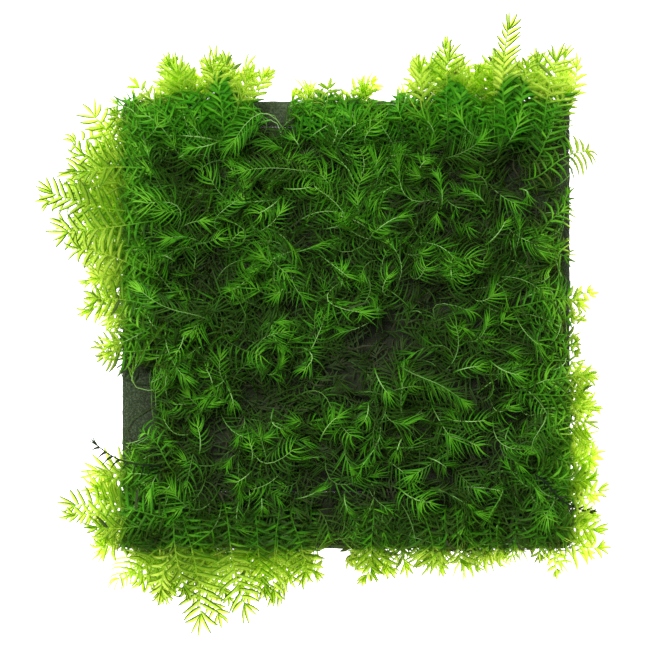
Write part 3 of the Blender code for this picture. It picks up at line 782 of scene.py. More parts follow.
class Painter:
    """Builds one material's nodes."""

    def __init__(self, name: str) -> None:
        """Start a material with only its output."""
        self.material = bpy.data.materials.new(name)
        self.material.use_nodes = True
        self.nodes = self.material.node_tree.nodes
        self.links = self.material.node_tree.links
        self.nodes.clear()
        self.output = self.nodes.new("ShaderNodeOutputMaterial")

    def node(self, kind: str, settings: dict, inputs: dict, output: str | int = 0) -> Wire:
        """Add a node.

        Args:
            kind: the node's type.
            settings: its own settings.
            inputs: a value or a wire for each socket, by name or number.
            output: which output is wanted, by name or number.

        Returns:
            That output.
        """
        node = self.nodes.new(kind)
        for name, value in settings.items():
            setattr(node, name, value)
        for name, value in inputs.items():
            if isinstance(value, Wire):
                self.links.new(value.socket, node.inputs[name])
            else:
                node.inputs[name].default_value = value
        return Wire(self, node.outputs[output])

    def maths(self, operation: str, *values: "Wire | float") -> Wire:
        """Work out one step of arithmetic."""
        return self.node("ShaderNodeMath", {"operation": operation}, dict(enumerate(values)))

    def guide(self, name: str) -> tuple[Wire, Wire, Wire]:
        """Read the three numbers that a piece carries under a name."""
        return self.split(self.node("ShaderNodeAttribute", {"attribute_name": name}, {}, "Vector"))

    def split(self, vector: Wire) -> tuple[Wire, Wire, Wire]:
        """Take a vector's three parts."""
        kind = "ShaderNodeSeparateXYZ"
        return tuple(self.node(kind, {}, {"Vector": vector}, axis) for axis in ("X", "Y", "Z"))

    def places(self) -> Wire:
        """The piece's own coordinates, in metres."""
        return self.node("ShaderNodeTexCoord", {}, {}, "Object")

    def noise(self, size: float, detail: float = 2.0, roughness: float = 0.5) -> Wire:
        """Soft spots about as large as size, in metres."""
        inputs = {"Vector": self.places(), "Scale": 1 / size, "Detail": detail, "Roughness": roughness}
        return self.node("ShaderNodeTexNoise", {}, inputs, "Fac")

    def mix(self, first: "Wire | tuple", second: "Wire | tuple", share: "Wire | float") -> Wire:
        """Blend two colours."""
        ends = [(*end, 1.0) if isinstance(end, tuple) else end for end in (first, second)]
        return self.node("ShaderNodeMix", {"data_type": "RGBA"}, {0: share, 6: ends[0], 7: ends[1]}, 2)

    def bump(self, height: Wire, distance: float, strength: float) -> Wire:
        """Turn a height into a bent normal."""
        inputs = {"Height": height, "Distance": distance, "Strength": strength}
        return self.node("ShaderNodeBump", {}, inputs, "Normal")

    def principled(self, inputs: dict) -> Wire:
        """The main shader."""
        return self.node("ShaderNodeBsdfPrincipled", {}, inputs, "BSDF")

    def thin(self, kind: str, tint: tuple) -> Wire:
        """A shader that only tints the light which passes it: Translucent or Transparent."""
        return self.node(f"ShaderNodeBsdf{kind}", {}, {"Color": (*tint, 1.0)}, "BSDF")

    def blend(self, first: Wire, second: Wire, share: "Wire | float") -> Wire:
        """Blend two shaders."""
        return self.node("ShaderNodeMixShader", {}, {0: share, 1: first, 2: second})

    def finish(self, shader: Wire) -> bpy.types.Material:
        """Send a shader to the output and give back the material."""
        self.links.new(shader.socket, self.output.inputs["Surface"])
        return self.material


@dataclass(frozen=True)
class LeafFinish:
    """Moss: thin green blades that let light through, with duller margins, ribs and tips.

    Past the pad's edge a blade's upper part is partly clear, which gives it a pale rim. Each
    range is the stretch over which one look gives way to the next. Over the pad the colour is
    painted darker, as painted shade, with painted light near the pad's edges and a painted
    highlight on the upper margins.
    """

    name: str
    shaded: tuple = (0.024, 0.064, 0.007)
    fresh: tuple = (0.034, 0.222, 0.003)
    young_and_highlight: tuple = (0.180, 0.530, 0.028)
    bud: tuple = (0.360, 0.600, 0.150)
    margin: tuple = (0.008, 0.046, 0.004)
    stem: tuple = (0.330, 0.620, 0.180)
    brown: tuple = (0.038, 0.040, 0.020)
    vivid: tuple = (0.012, 0.240, 0.000)
    glow: tuple = (0.876, 0.978, 0.31)
    clear: tuple = (0.94, 1.0, 0.84)
    thin_edge: float = 0.55
    clearness: float = 0.995
    outline: float = 1.1
    fading: float = 0.40
    hidden_stem: float = 0.0
    gloss: float = 0.45
    dull_range: tuple = (0.15, 0.80)
    fresh_range: tuple = (0.0, 0.65)
    young_range: tuple = (0.55, 1.1)
    bud_range: tuple = (0.82, 1.20)
    lower_range: tuple = (0.30, 0.85)
    upper_range: tuple = (0.70, 1.0)
    tip_range: tuple = (0.70, 0.96)
    clear_range: tuple = (0.25, 1.0)
    tone_spots: float = 0.0013
    unevenness: float = 0.30
    painted_lit_margin: float = 0.40
    vivid_share: float = 0.40
    tip_loss: float = 0.65
    dry_loss: float = 0.85
    stem_loss: float = 0.22
    rib_size: float = 0.00022
    rib_depth: float = 0.00004

    def thick_growth(self, paint: Painter, x: Wire, y: Wire) -> Wire:
        """How far thick growth past the top edge keeps the table's light out, in metres.

        Args:
            paint: the material's painter.
            x: how far across a point lies.
            y: how far up the photograph it lies.

        Returns:
            The reach there.
        """
        thick = THICK_REACH * paint.noise(THICK_PATCH).step(0.42, 0.60)
        for place_px, spread_px, reach in THICK_CLUMPS:
            away = abs(x - float(from_photo((place_px, 0))[0]))
            spread = spread_px * PHOTO_PIXEL
            thick = thick + reach * (1 - away.step(0.3 * spread, spread))
        return thick * y.step(THICK_START, PAD_HALF) * (0.4 + 1.2 * paint.noise(THICK_GRAIN))

    def make(self) -> bpy.types.Material:
        """Mix an opaque leaf with light that passes through it, and give back the material."""
        paint = Painter(self.name)
        along, across, stem = paint.guide("leaf_place")
        tone, dry, thin = paint.guide("leaf_tone")
        x, y, z = paint.split(paint.places())
        blade = 1 - stem

        beyond = paint.maths("MAXIMUM", abs(x), abs(y))
        lit_from = beyond + (z - FOAM_TOP) * SHADE_BY_HEIGHT
        dull = 1 - tone.step(*self.dull_range)
        waver = (paint.noise(WAVER_SIZE) - 0.5) * SHADE_WAVER
        reached = lit_from - self.thick_growth(paint, x, y) - DULL_REACH * dull + waver
        lit = reached.step(SHADE_START, SHADE_END)
        shade = 1 - lit
        # Painted light: near the pad's edges the shaded moss is painted brighter
        near, far = (reach - PAD_HALF for reach in EDGE_LIGHT_FROM_FOOT)
        above = paint.maths("MAXIMUM", y.step(near, far), (0 - x).step(EDGE_LIGHT_START, EDGE_LIGHT_END))
        edge_light = EDGE_LIGHT * shade * lit_from.step(EDGE_LIGHT_START, EDGE_LIGHT_END) * above

        in_open = beyond.step(OPEN_START, OPEN_END)
        crowd = lit * (1 - in_open)
        far_side = paint.maths("MAXIMUM", x, y).step(SHADE_START, SHADE_END)
        outline = self.outline * (1 - CROWDED_OUTLINE_LOSS * crowd)
        outline = outline * (1 - FAR_OUTLINE_LOSS * far_side * crowd)
        lower_edge = (OPEN_MARGIN * lit - across).step(*self.lower_range)
        edge = outline * (0.85 * lower_edge + 0.35 * across.step(*self.upper_range))
        tip = outline * along.step(*self.tip_range) * blade * lit

        bright = tone + self.unevenness * (paint.noise(self.tone_spots) - 0.5)
        # Painted shade over the pad, and painted light near its edges
        bright = bright - SHADED_TONE * shade + edge_light
        body = bright - self.fading * shade * blade * along.step(0.15, 1.0)
        colour = paint.mix(self.shaded, self.fresh, body.step(*self.fresh_range))
        colour = paint.mix(colour, self.young_and_highlight, body.step(*self.young_range))
        colour = paint.mix(colour, self.bud, (body - edge_light).step(*self.bud_range))
        # Painted highlight: a paler upper margin on the leaves over the pad
        painted_lit_margin = across.step(0.3, 1.0) * bright.step(0.15, 0.7)
        colour = paint.mix(colour, self.young_and_highlight, self.painted_lit_margin * shade * painted_lit_margin)
        colour = paint.mix(colour, self.vivid, self.vivid_share * y.step(VIVID_START, VIVID_END))
        colour = paint.mix(colour, self.margin, outline * (lower_edge + 0.8 * tip).step(0.0, 1.2))
        shown = bright.step(0.05, 0.6) * (1 - self.hidden_stem * shade) * along.step(0.05, 0.55)
        colour = paint.mix(colour, self.stem, stem * shown)
        colour = paint.mix(colour, self.brown, dry)

        passing = self.clearness * thin * (1 - DULL_LOSS * dull * lit) * (1 - OPEN_LOSS * in_open * lit)
        passing = passing * (1 - SHADED_SHARE * shade) * (1 - edge) * (1 - self.tip_loss * tip)
        passing = passing * (1 - self.dry_loss * dry) * (1 - self.stem_loss * stem)
        ribs = paint.noise(self.rib_size, 3.0)
        opaque = paint.principled({
            "Base Color": colour,
            "Roughness": self.gloss + 0.25 * ribs,
            "Specular IOR Level": 0.06,
            "Normal": paint.bump(ribs, self.rib_depth, 0.5),
        })
        leaf = paint.blend(opaque, paint.thin("Translucent", self.glow), passing)
        bare_edge = self.thin_edge * lit * across.step(*self.clear_range) * blade
        return paint.finish(paint.blend(leaf, paint.thin("Transparent", self.clear), bare_edge))


@dataclass(frozen=True)
class FoamFinish:
    """Fine dark foam: nearly black pores in a slightly greener, duller skin, with painted shade inside the
    rim and painted light at the top edge.
    """

    name: str = "fine_foam"
    pore: tuple = (0.006, 0.009, 0.004)
    inner: tuple = (0.019, 0.022, 0.013)
    skin: tuple = (0.026, 0.039, 0.018)
    pale_grain_and_top_light: tuple = (0.082, 0.112, 0.060)

    def make(self) -> bpy.types.Material:
        """Give back the foam's material."""
        paint = Painter(self.name)
        cells = paint.node(
            "ShaderNodeTexVoronoi", {"feature": "F1"}, {"Vector": paint.places(), "Scale": 1 / 0.00032},
            "Distance",
        )
        grain = paint.noise(0.00034, 4.0, 0.75)
        patches = paint.noise(0.0035, 3.0)
        open_pore = (1 - cells.step(0.05, 0.5)) * grain.step(0.40, 0.60)
        x, y, _ = paint.split(paint.places())
        # Painted shade: the foam is painted darker inside the rim, which lies in the moss's shade, than at
        # the rim, which catches the table's glow
        inside = 1 - paint.maths("MAXIMUM", abs(x), abs(y)).step(PAD_HALF - 0.0085, PAD_HALF - 0.0015)
        colour = paint.mix(self.skin, self.pale_grain_and_top_light, grain.step(0.44, 0.62) * (0.4 + patches))
        colour = paint.mix(colour, self.pore, (grain * 0.6 + open_pore).step(0.30, 1.0))
        colour = paint.mix(colour, self.inner, 0.85 * inside)
        # Painted light: along the top edge the foam is painted lighter, where light falls on it
        painted_top_light = y.step(PAD_HALF - 0.0080, PAD_HALF - 0.0010)
        colour = paint.mix(colour, self.pale_grain_and_top_light, 0.55 * painted_top_light * grain.step(0.38, 0.60))
        height = grain + 0.6 * cells
        return paint.finish(paint.principled({
            "Base Color": colour,
            "Roughness": 0.86 + 0.1 * grain,
            "Specular IOR Level": 0.06,
            "Normal": paint.bump(height, 0.00012, 0.8),
        }))


@dataclass(frozen=True)
class LineFinish:
    """Clear nylon line: see-through, with faint scuffs, and dark and dull where it bends over the rims."""

    name: str = "clear_nylon"
    tint: tuple = (0.80, 0.78, 0.86)
    bend_dark: tuple = (0.020, 0.026, 0.014)
    bend_scuffed: tuple = (0.040, 0.052, 0.028)

    def make(self) -> bpy.types.Material:
        """Give back the line's material."""
        paint = Painter(self.name)
        scuffs = paint.noise(0.0006, 3.0)
        # Where the line bends over the rims it is made dark and dull
        bends = abs(paint.split(paint.places())[0]).step(PAD_HALF - 0.005, PAD_HALF - 0.003)
        clear = paint.principled({
            "Base Color": paint.mix(self.tint, self.bend_dark, bends),
            "Roughness": 0.08 + 0.2 * scuffs.step(0.5, 0.8),
            "IOR": 1.53,
            "Transmission Weight": 0.88,
            "Normal": paint.bump(scuffs, 0.00002, 0.3),
        })
        dull = paint.principled({
            "Base Color": paint.mix(self.bend_dark, self.bend_scuffed, scuffs),
            "Roughness": 0.85,
            "Specular IOR Level": 0.05,
        })
        return paint.finish(paint.blend(clear, dull, 0.95 * bends))


@dataclass(frozen=True)
class TableFinish:
    """The light table's evenly glowing white top."""

    name: str = "light_table"
    glow: float = 2.30

    def make(self) -> bpy.types.Material:
        """Give back the table's material."""
        paint = Painter(self.name)
        cloud = paint.noise(0.6, 1.0)
        return paint.finish(paint.principled({
            "Base Color": paint.mix((0.06, 0.06, 0.06), (0.08, 0.08, 0.08), cloud),
            "Roughness": 0.7,
            "Emission Color": (1.0, 1.0, 1.0, 1.0),
            "Emission Strength": self.glow,
        }))


@dataclass
class FoamPad:
    """The pad: a rounded block whose skin is slightly uneven and pressed in under the lines."""

    rim_radius: float = 0.0020
    corner_radius: float = 0.0013
    foot_radius: float = 0.0008
    cell: float = 0.00055
    fine_band: float = 0.0116
    corner_steps: int = 6
    foot_steps: int = 4
    rim_steps: int = 10
    coarse_steps: int = 9
    unevenness: float = 0.00005
    press_depth: float = 0.00036
    press_width: float = 0.00034
    waves: int = 60
    shortest_wave: float = 0.0009
    seed: int = 4

    def outline(self) -> tuple[Array, Array]:
        """The way round a rounded square: points of its core square and its outward directions.

        Returns:
            Core points from -1 to 1 and unit normals, both anticlockwise.
        """
        side_steps = round(PAD_SIDE / self.cell)
        run = np.linspace(-1.0, 1.0, side_steps, endpoint=False) + 1.0 / side_steps
        bend = np.linspace(0.0, math.pi / 2, self.corner_steps)
        core = np.concatenate([np.stack([np.ones_like(run), run], axis=1), np.ones((len(bend), 2))])
        corner = np.stack([np.cos(bend), np.sin(bend)], axis=1)
        out = np.concatenate([np.tile((1.0, 0.0), (len(run), 1)), corner])
        quarter = np.array(((0.0, 1.0), (-1.0, 0.0)))
        turns = [np.linalg.matrix_power(quarter, number) for number in range(4)]
        return np.concatenate([core @ turn for turn in turns]), np.concatenate([out @ turn for turn in turns])

    def run(self, half: Array | float, height: Array | float, out: float, up: float) -> Array:
        """Rows of a straight run of the profile."""
        return np.stack(np.broadcast_arrays(half, height, out, up), axis=1)

    def bend(self, angles: Array, radius: float, middle: float) -> Array:
        """Rows of the profile round a quarter circle whose middle is at this height."""
        out, up = np.cos(angles), np.sin(angles)
        return np.stack([PAD_HALF - radius * (1 - out), middle + radius * up, out, up], axis=1)

    def profile(self) -> Array:
        """The way up the pad, from the middle of its foot over the rim to the middle of its top.

        Returns:
            Rows of half side, height, and the outward and upward parts of the normal.
        """
        inner, quarter = PAD_HALF - self.fine_band, math.pi / 2
        least = inner / self.coarse_steps
        wall = np.arange(self.foot_radius + self.cell, FOAM_TOP - self.rim_radius, self.cell)
        fine = np.arange(PAD_HALF - self.rim_radius - self.cell, inner, -self.cell)
        return np.concatenate([
            self.run(np.linspace(least, PAD_HALF - self.foot_radius, self.coarse_steps), 0.0, 0.0, -1.0),
            self.bend(np.linspace(-quarter, 0.0, self.foot_steps)[1:], self.foot_radius, self.foot_radius),
            self.run(PAD_HALF, wall, 1.0, 0.0),
            self.bend(np.linspace(0.0, quarter, self.rim_steps), self.rim_radius, FOAM_TOP - self.rim_radius),
            self.run(fine, FOAM_TOP, 0.0, 1.0),
            self.run(np.linspace(inner, least, self.coarse_steps), FOAM_TOP, 0.0, 1.0),
        ])

    def skin(self, points: Array) -> Array:
        """How far the skin lies in from the true block.

        Seeded waves of many directions add up to an unevenness, and over each line's row a
        bell-shaped dent is pressed in.

        Args:
            points: places on the true block.

        Returns:
            The distance inwards at each, in metres.
        """
        rng = np.random.default_rng(self.seed)
        ways = unit(rng.normal(size=(self.waves, 3)))
        ways *= math.tau / (self.shortest_wave * rng.uniform(1.0, 3.0, (self.waves, 1)))
        bumps = np.cos(points @ ways.T + rng.uniform(0, math.tau, self.waves)).sum(axis=1)
        inward = self.unevenness * (1 + np.clip(bumps / math.sqrt(self.waves), -1.0, 1.6))
        for line in TieLines().rows().values():
            inward += self.press_depth * np.exp(-(((points[:, 1] - line) / self.press_width) ** 2))
        return inward

    def build(self, finish: bpy.types.Material) -> None:
        """Carry the profile round the outline, press the skin in and close both middles.

        Args:
            finish: the foam's material.
        """
        cores, normals = self.outline()
        half, height, out, up = (column[:, None, None] for column in self.profile().T)
        radius = np.minimum(self.corner_radius, half)
        flat = cores * (half - radius) + normals * radius
        rows, columns = flat.shape[:2]
        shape = (rows, columns, 1)
        points = np.concatenate([flat, np.broadcast_to(height, shape)], axis=2).reshape(-1, 3)
        facing = np.concatenate([normals * out, np.broadcast_to(up, shape)], axis=2).reshape(-1, 3)
        points = points - facing * self.skin(points)[:, None]
        middles = [points[:columns].mean(axis=0), points[-columns:].mean(axis=0)]
        points = np.concatenate([points, middles])
        surface = Surface()
        surface.add(points, grid_quads(rows, columns), end_triangles(rows, columns))
        surface.to_piece("fine_foam_block", finish, "foam", "foam_pad", HARD_CREASE)


@dataclass
class TieLines:
    """The clear line's loops round the pad."""

    radius: float = 0.00011
    depth: float = 0.0002
    top_bend: float = 0.0019
    foot_bend: float = 0.0012
    bend_steps: int = 8
    run_steps: int = 60
    sides: int = 10

    def rows(self) -> dict[str, float]:
        """Where each loop crosses the pad, along +Y, from its solid."""
        names = [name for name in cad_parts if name.startswith("tie_line")]
        return {name: (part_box(name)[0].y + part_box(name)[1].y) / 2 for name in sorted(names)}

    def way(self) -> Array:
        """The loop's way, across and up: four straight runs joined by quarter circles."""
        side, top = PAD_HALF - self.depth, FOAM_TOP - self.depth
        corners = (
            (-side + self.top_bend, top - self.top_bend, self.top_bend, 180),
            (side - self.top_bend, top - self.top_bend, self.top_bend, 90),
            (side - self.foot_bend, self.depth + self.foot_bend, self.foot_bend, 0),
            (-side + self.foot_bend, self.depth + self.foot_bend, self.foot_bend, -90),
        )
        arcs = []
        for across, up, radius, start in corners:
            angle = np.radians(start - 90 * np.linspace(0, 1, self.bend_steps + 1))
            arcs.append(np.stack([across + radius * np.cos(angle), up + radius * np.sin(angle)], axis=1))
        runs = []
        for arc, following in zip(arcs, arcs[1:] + arcs[:1]):
            share = np.linspace(0, 1, self.run_steps, endpoint=False)[1:, None]
            runs += [arc, arc[-1] + (following[0] - arc[-1]) * share]
        return np.concatenate(runs)

    def build(self, finish: bpy.types.Material) -> None:
        """Carry a round ring along each loop's way.

        Args:
            finish: the line's material.
        """
        flat = self.way()
        along = unit(np.roll(flat, -1, axis=0) - np.roll(flat, 1, axis=0))
        outward = np.stack([-along[:, 1], along[:, 0]], axis=1)
        turn = np.arange(self.sides) * math.tau / self.sides
        for name, row in self.rows().items():
            ring = flat[:, None] + outward[:, None] * (self.radius * np.cos(turn))[None, :, None]
            height = np.broadcast_to(row + self.radius * np.sin(turn), ring.shape[:2])
            points = np.stack([ring[..., 0], height, ring[..., 1]], axis=2).reshape(-1, 3)
            surface = Surface()
            surface.add(points, grid_quads(len(flat), self.sides, closed_rows=True), np.zeros((0, 3), int))
            surface.to_piece(name + "_strand", finish, "line", name, HARD_CREASE)


@dataclass(frozen=True)
class Shoot:
    """One shoot that has a solid of its own: where it springs and ends in the photograph.

    leaf is its leaves' length in metres, roll the turn of its leaf rows about the stem in
    degrees, and bow its sideways curve as a share of its length. gap is how much further apart
    its leaves stand than its kind's, and sides the left and right rows' lengths as shares of
    leaf.
    """

    name: str
    root_px: tuple[float, float]
    tip_px: tuple[float, float]
    leaf: float
    roll: float
    bow: float
    gap: float = 1.0
    sides: tuple[float, float] = (1.0, 1.0)


def shoots(kind: str, *rows: tuple) -> tuple[Shoot, ...]:
    """Number rows of a root's and a tip's column and row, and the shoot's other values in order."""
    return tuple(
        Shoot(f"{kind}_shoot_{number}", row[:2], row[2:4], *row[4:]) for number, row in enumerate(rows, 1)
    )


UPPER_SHOOTS = shoots(
    "upper",
    (296, 172, 226, 173, 0.0036, 8, 0.04), (188, 313, 124, 280, 0.0036, -12, -0.08),
    (534, 432, 520, 478, 0.0056, 6, 0.10, 1.0, (1.1, 0.75)), (424, 378, 480, 412, 0.0036, 10, -0.05),
)
DRY_SHOOTS = (
    Shoot("dry_shoot_left", (148, 463), (84, 437), 0.0034, 12, -0.09, sides=(1.1, 0.12)),
    Shoot("dry_shoot_right", (548, 486), (600, 516), 0.0030, 20, 0.10),
)
FRINGE_SHOOTS = shoots(
    "left",
    (126, 162, 84, 100, 0.0038, -8, 0.04, 1.1), (142, 158, 66, 157, 0.0036, 25, -0.06),
    (140, 170, 70, 176, 0.0034, -20, 0.05), (142, 213, 33, 189, 0.0038, 10, -0.05),
    (144, 224, 47, 236, 0.0040, -15, -0.01), (144, 272, 64, 243, 0.0036, 12, 0.06),
    (146, 304, 80, 297, 0.0033, -12, 0.04), (146, 350, 85, 349, 0.0044, 8, -0.03),
    (165, 452, 138, 422, 0.0026, 10, 0.08), (154, 512, 56, 501, 0.0038, -8, 0.04),
    (152, 521, 80, 526, 0.0034, 22, -0.05),
) + shoots(
    "bottom",
    (174, 538, 122, 586, 0.0037, 10, -0.05), (178, 534, 159, 603, 0.0030, 30, 0.05),
    (176, 528, 190, 601, 0.0032, -20, 0.04), (188, 528, 206, 637, 0.0044, -10, -0.04),
    (230, 528, 250, 622, 0.0037, 12, 0.03), (258, 532, 268, 603, 0.0031, -15, 0.03),
    (297, 530, 309, 590, 0.0034, 10, -0.05), (372, 528, 371, 586, 0.0036, -8, 0.03),
    (428, 528, 434, 579, 0.0037, 14, -0.06), (456, 530, 462, 576, 0.0034, -12, 0.05),
    (545, 534, 533, 566, 0.0028, 10, 0.05),
) + shoots(
    "right",
    (556, 538, 612, 549, 0.0027, 10, 0.05), (552, 526, 611, 530, 0.0034, -14, -0.04),
    (548, 476, 607, 480, 0.0040, -8, 0.03), (538, 429, 602, 418, 0.0040, 10, -0.05),
    (544, 394, 598, 389, 0.0037, -10, 0.05), (552, 379, 600, 373, 0.0032, 12, -0.04),
    (552, 341, 585, 346, 0.0026, -10, 0.05), (528, 304, 592, 297, 0.0040, 8, -0.04),
    (544, 245, 575, 265, 0.0029, -8, 0.06), (541, 231, 573, 199, 0.0037, 12, -0.06),
    (548, 169, 602, 146, 0.0038, 6, -0.08), (543, 143, 567, 96, 0.0044, -6, -0.03),
) + shoots(
    "top",
    (550, 118, 571, 84, 0.0028, 12, -0.05), (542, 118, 558, 43, 0.0037, -8, -0.03),
    (519, 118, 527, 54, 0.0032, 20, -0.04), (503, 118, 506, 14, 0.0036, 6, -0.045, 0.86, (0.66, 1.05)),
    (477, 118, 484, 68, 0.0034, -15, 0.05), (446, 122, 448, 39, 0.0040, 8, -0.03),
    (426, 118, 417, 55, 0.0032, -18, -0.04), (346, 116, 376, 79, 0.0034, 20, 0.24),
    (324, 118, 330, 75, 0.0028, -10, 0.04), (246, 120, 271, 66, 0.0025, -8, -0.04),
    (234, 118, 255, 66, 0.0030, 16, 0.04), (224, 122, 208, 49, 0.0047, 40, 0.05),
    (194, 120, 172, 53, 0.0043, -16, -0.05), (174, 126, 140, 90, 0.0034, 12, 0.05),
    (144, 132, 107, 110, 0.0022, -10, -0.05),
)


@dataclass
class SingleShoots:
    """The shoots that have solids of their own, each dressed as a frond where its solid lies."""

    shoots: tuple[Shoot, ...]
    habit: Habit
    slot: str
    fullness: float = 1.0
    foot_reach: float = 0.0055
    fall_kept: float = 0.65
    arch_kept: float = 0.30
    seed: int = 11

    def lie(self, shoot: Shoot) -> tuple[Array, Array, float]:
        """Read from the solid how high its shoot lies.

        A curve of the second degree in the share of the straight way from root to tip is fitted
        to the heights of the solid's corners. Of its fall and of its arch only a share is kept,
        so that the leaves at its end lie open to the light.

        Args:
            shoot: the shoot.

        Returns:
            Its root, its tip and its arch.
        """
        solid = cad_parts[shoot.name].data
        corners = np.empty(len(solid.vertices) * 3, np.float32)
        solid.vertices.foreach_get("co", corners)
        corners = corners.reshape(-1, 3).astype(float)
        root, tip = from_photo(shoot.root_px), from_photo(shoot.tip_px)
        way = tip - root
        share = (corners[:, :2] - root) @ way / (way @ way)
        bend, slope, start = np.polyfit(share, corners[:, 2], 2)
        fall = min(slope + bend, 0.0) * self.fall_kept + max(slope + bend, 0.0)
        return np.append(root, start), np.append(tip, start + fall), -bend / 4 * self.arch_kept

    def build(self, finish: bpy.types.Material) -> None:
        """Grow every shoot as its own piece.

        Args:
            finish: the leaves' material.
        """
        for number, shoot in enumerate(self.shoots):
            root, tip, arch = self.lie(shoot)
            way = tip - root
            leaf = shoot.leaf * self.fullness
            end = root + way * (1 - TIP_LEAF_SHARE * leaf / np.linalg.norm(way))
            foot = np.append(root[:2] - unit(way[:2]) * self.foot_reach, FOAM_TOP + FOOT_HEIGHT)
            stem = grow_stem(root, end, foot, shoot.bow, arch, math.radians(shoot.roll))
            habit = replace(self.habit, pitch=self.habit.pitch * shoot.gap)
            growth = Growth(habit, np.random.default_rng(self.seed + number))
            growth.shoot(stem, leaf, sides=shoot.sides)
            growth.add(growth.leaves())
            growth.surface.to_piece(shoot.name + "_frond", finish, self.slot, shoot.name)


# Where fill-in growth stays away, by left, top, right and bottom in the photograph
CLEARINGS_PX = (
    (251, 60, 288, 130), (90, 367, 153, 440), (563, 104, 650, 368), (321, 544, 347, 650), (379, 40, 394, 104),
)


def clear_of_bare_places(places: Array) -> Array:
    """Tell which places lie in none of the clearings.

    Args:
        places: x and y first in the last axis.

    Returns:
        True for each place that is clear.
    """
    clear = np.ones(places.shape[:-1], bool)
    for left, top, right, bottom in CLEARINGS_PX:
        low, high = from_photo((left, bottom)), from_photo((right, top))
        clear &= ~np.all((places[..., :2] > low) & (places[..., :2] < high), axis=-1)
    return clear


@dataclass(frozen=True)
class Storey:
    """One layer of the carpet: how thickly it grows and where between the foam and the top.

    thinning is how much the older patches thin it out, and freshening how much brighter the
    fresher patches make it.
    """

    name: str
    spacing: float
    root_level: float
    tip_level: float
    spread: float
    habit: Habit
    leaf: float
    length: float
    thinning: float
    freshening: float
    seed: int


class Level(Enum):
    """The carpet's layers, from the foam up."""

    OLD = Storey("old_growth", 0.0036, 0.05, 0.25, 0.10, OLD_HABIT, 0.0038, 0.0110, 0.1, 0.0, 21)
    LOWER = Storey("lower_growth", 0.0037, 0.12, 0.46, 0.12, LOWER_HABIT, 0.0044, 0.0100, 0.4, 0.08, 22)
    MIDDLE = Storey("middle_growth", 0.0047, 0.22, 0.70, 0.14, MIDDLE_HABIT, 0.0050, 0.0095, 1.0, 0.28, 23)
    UPPER = Storey("upper_growth", 0.0046, 0.30, 0.93, 0.10, UPPER_HABIT, 0.0052, 0.0088, 1.1, 0.34, 24)


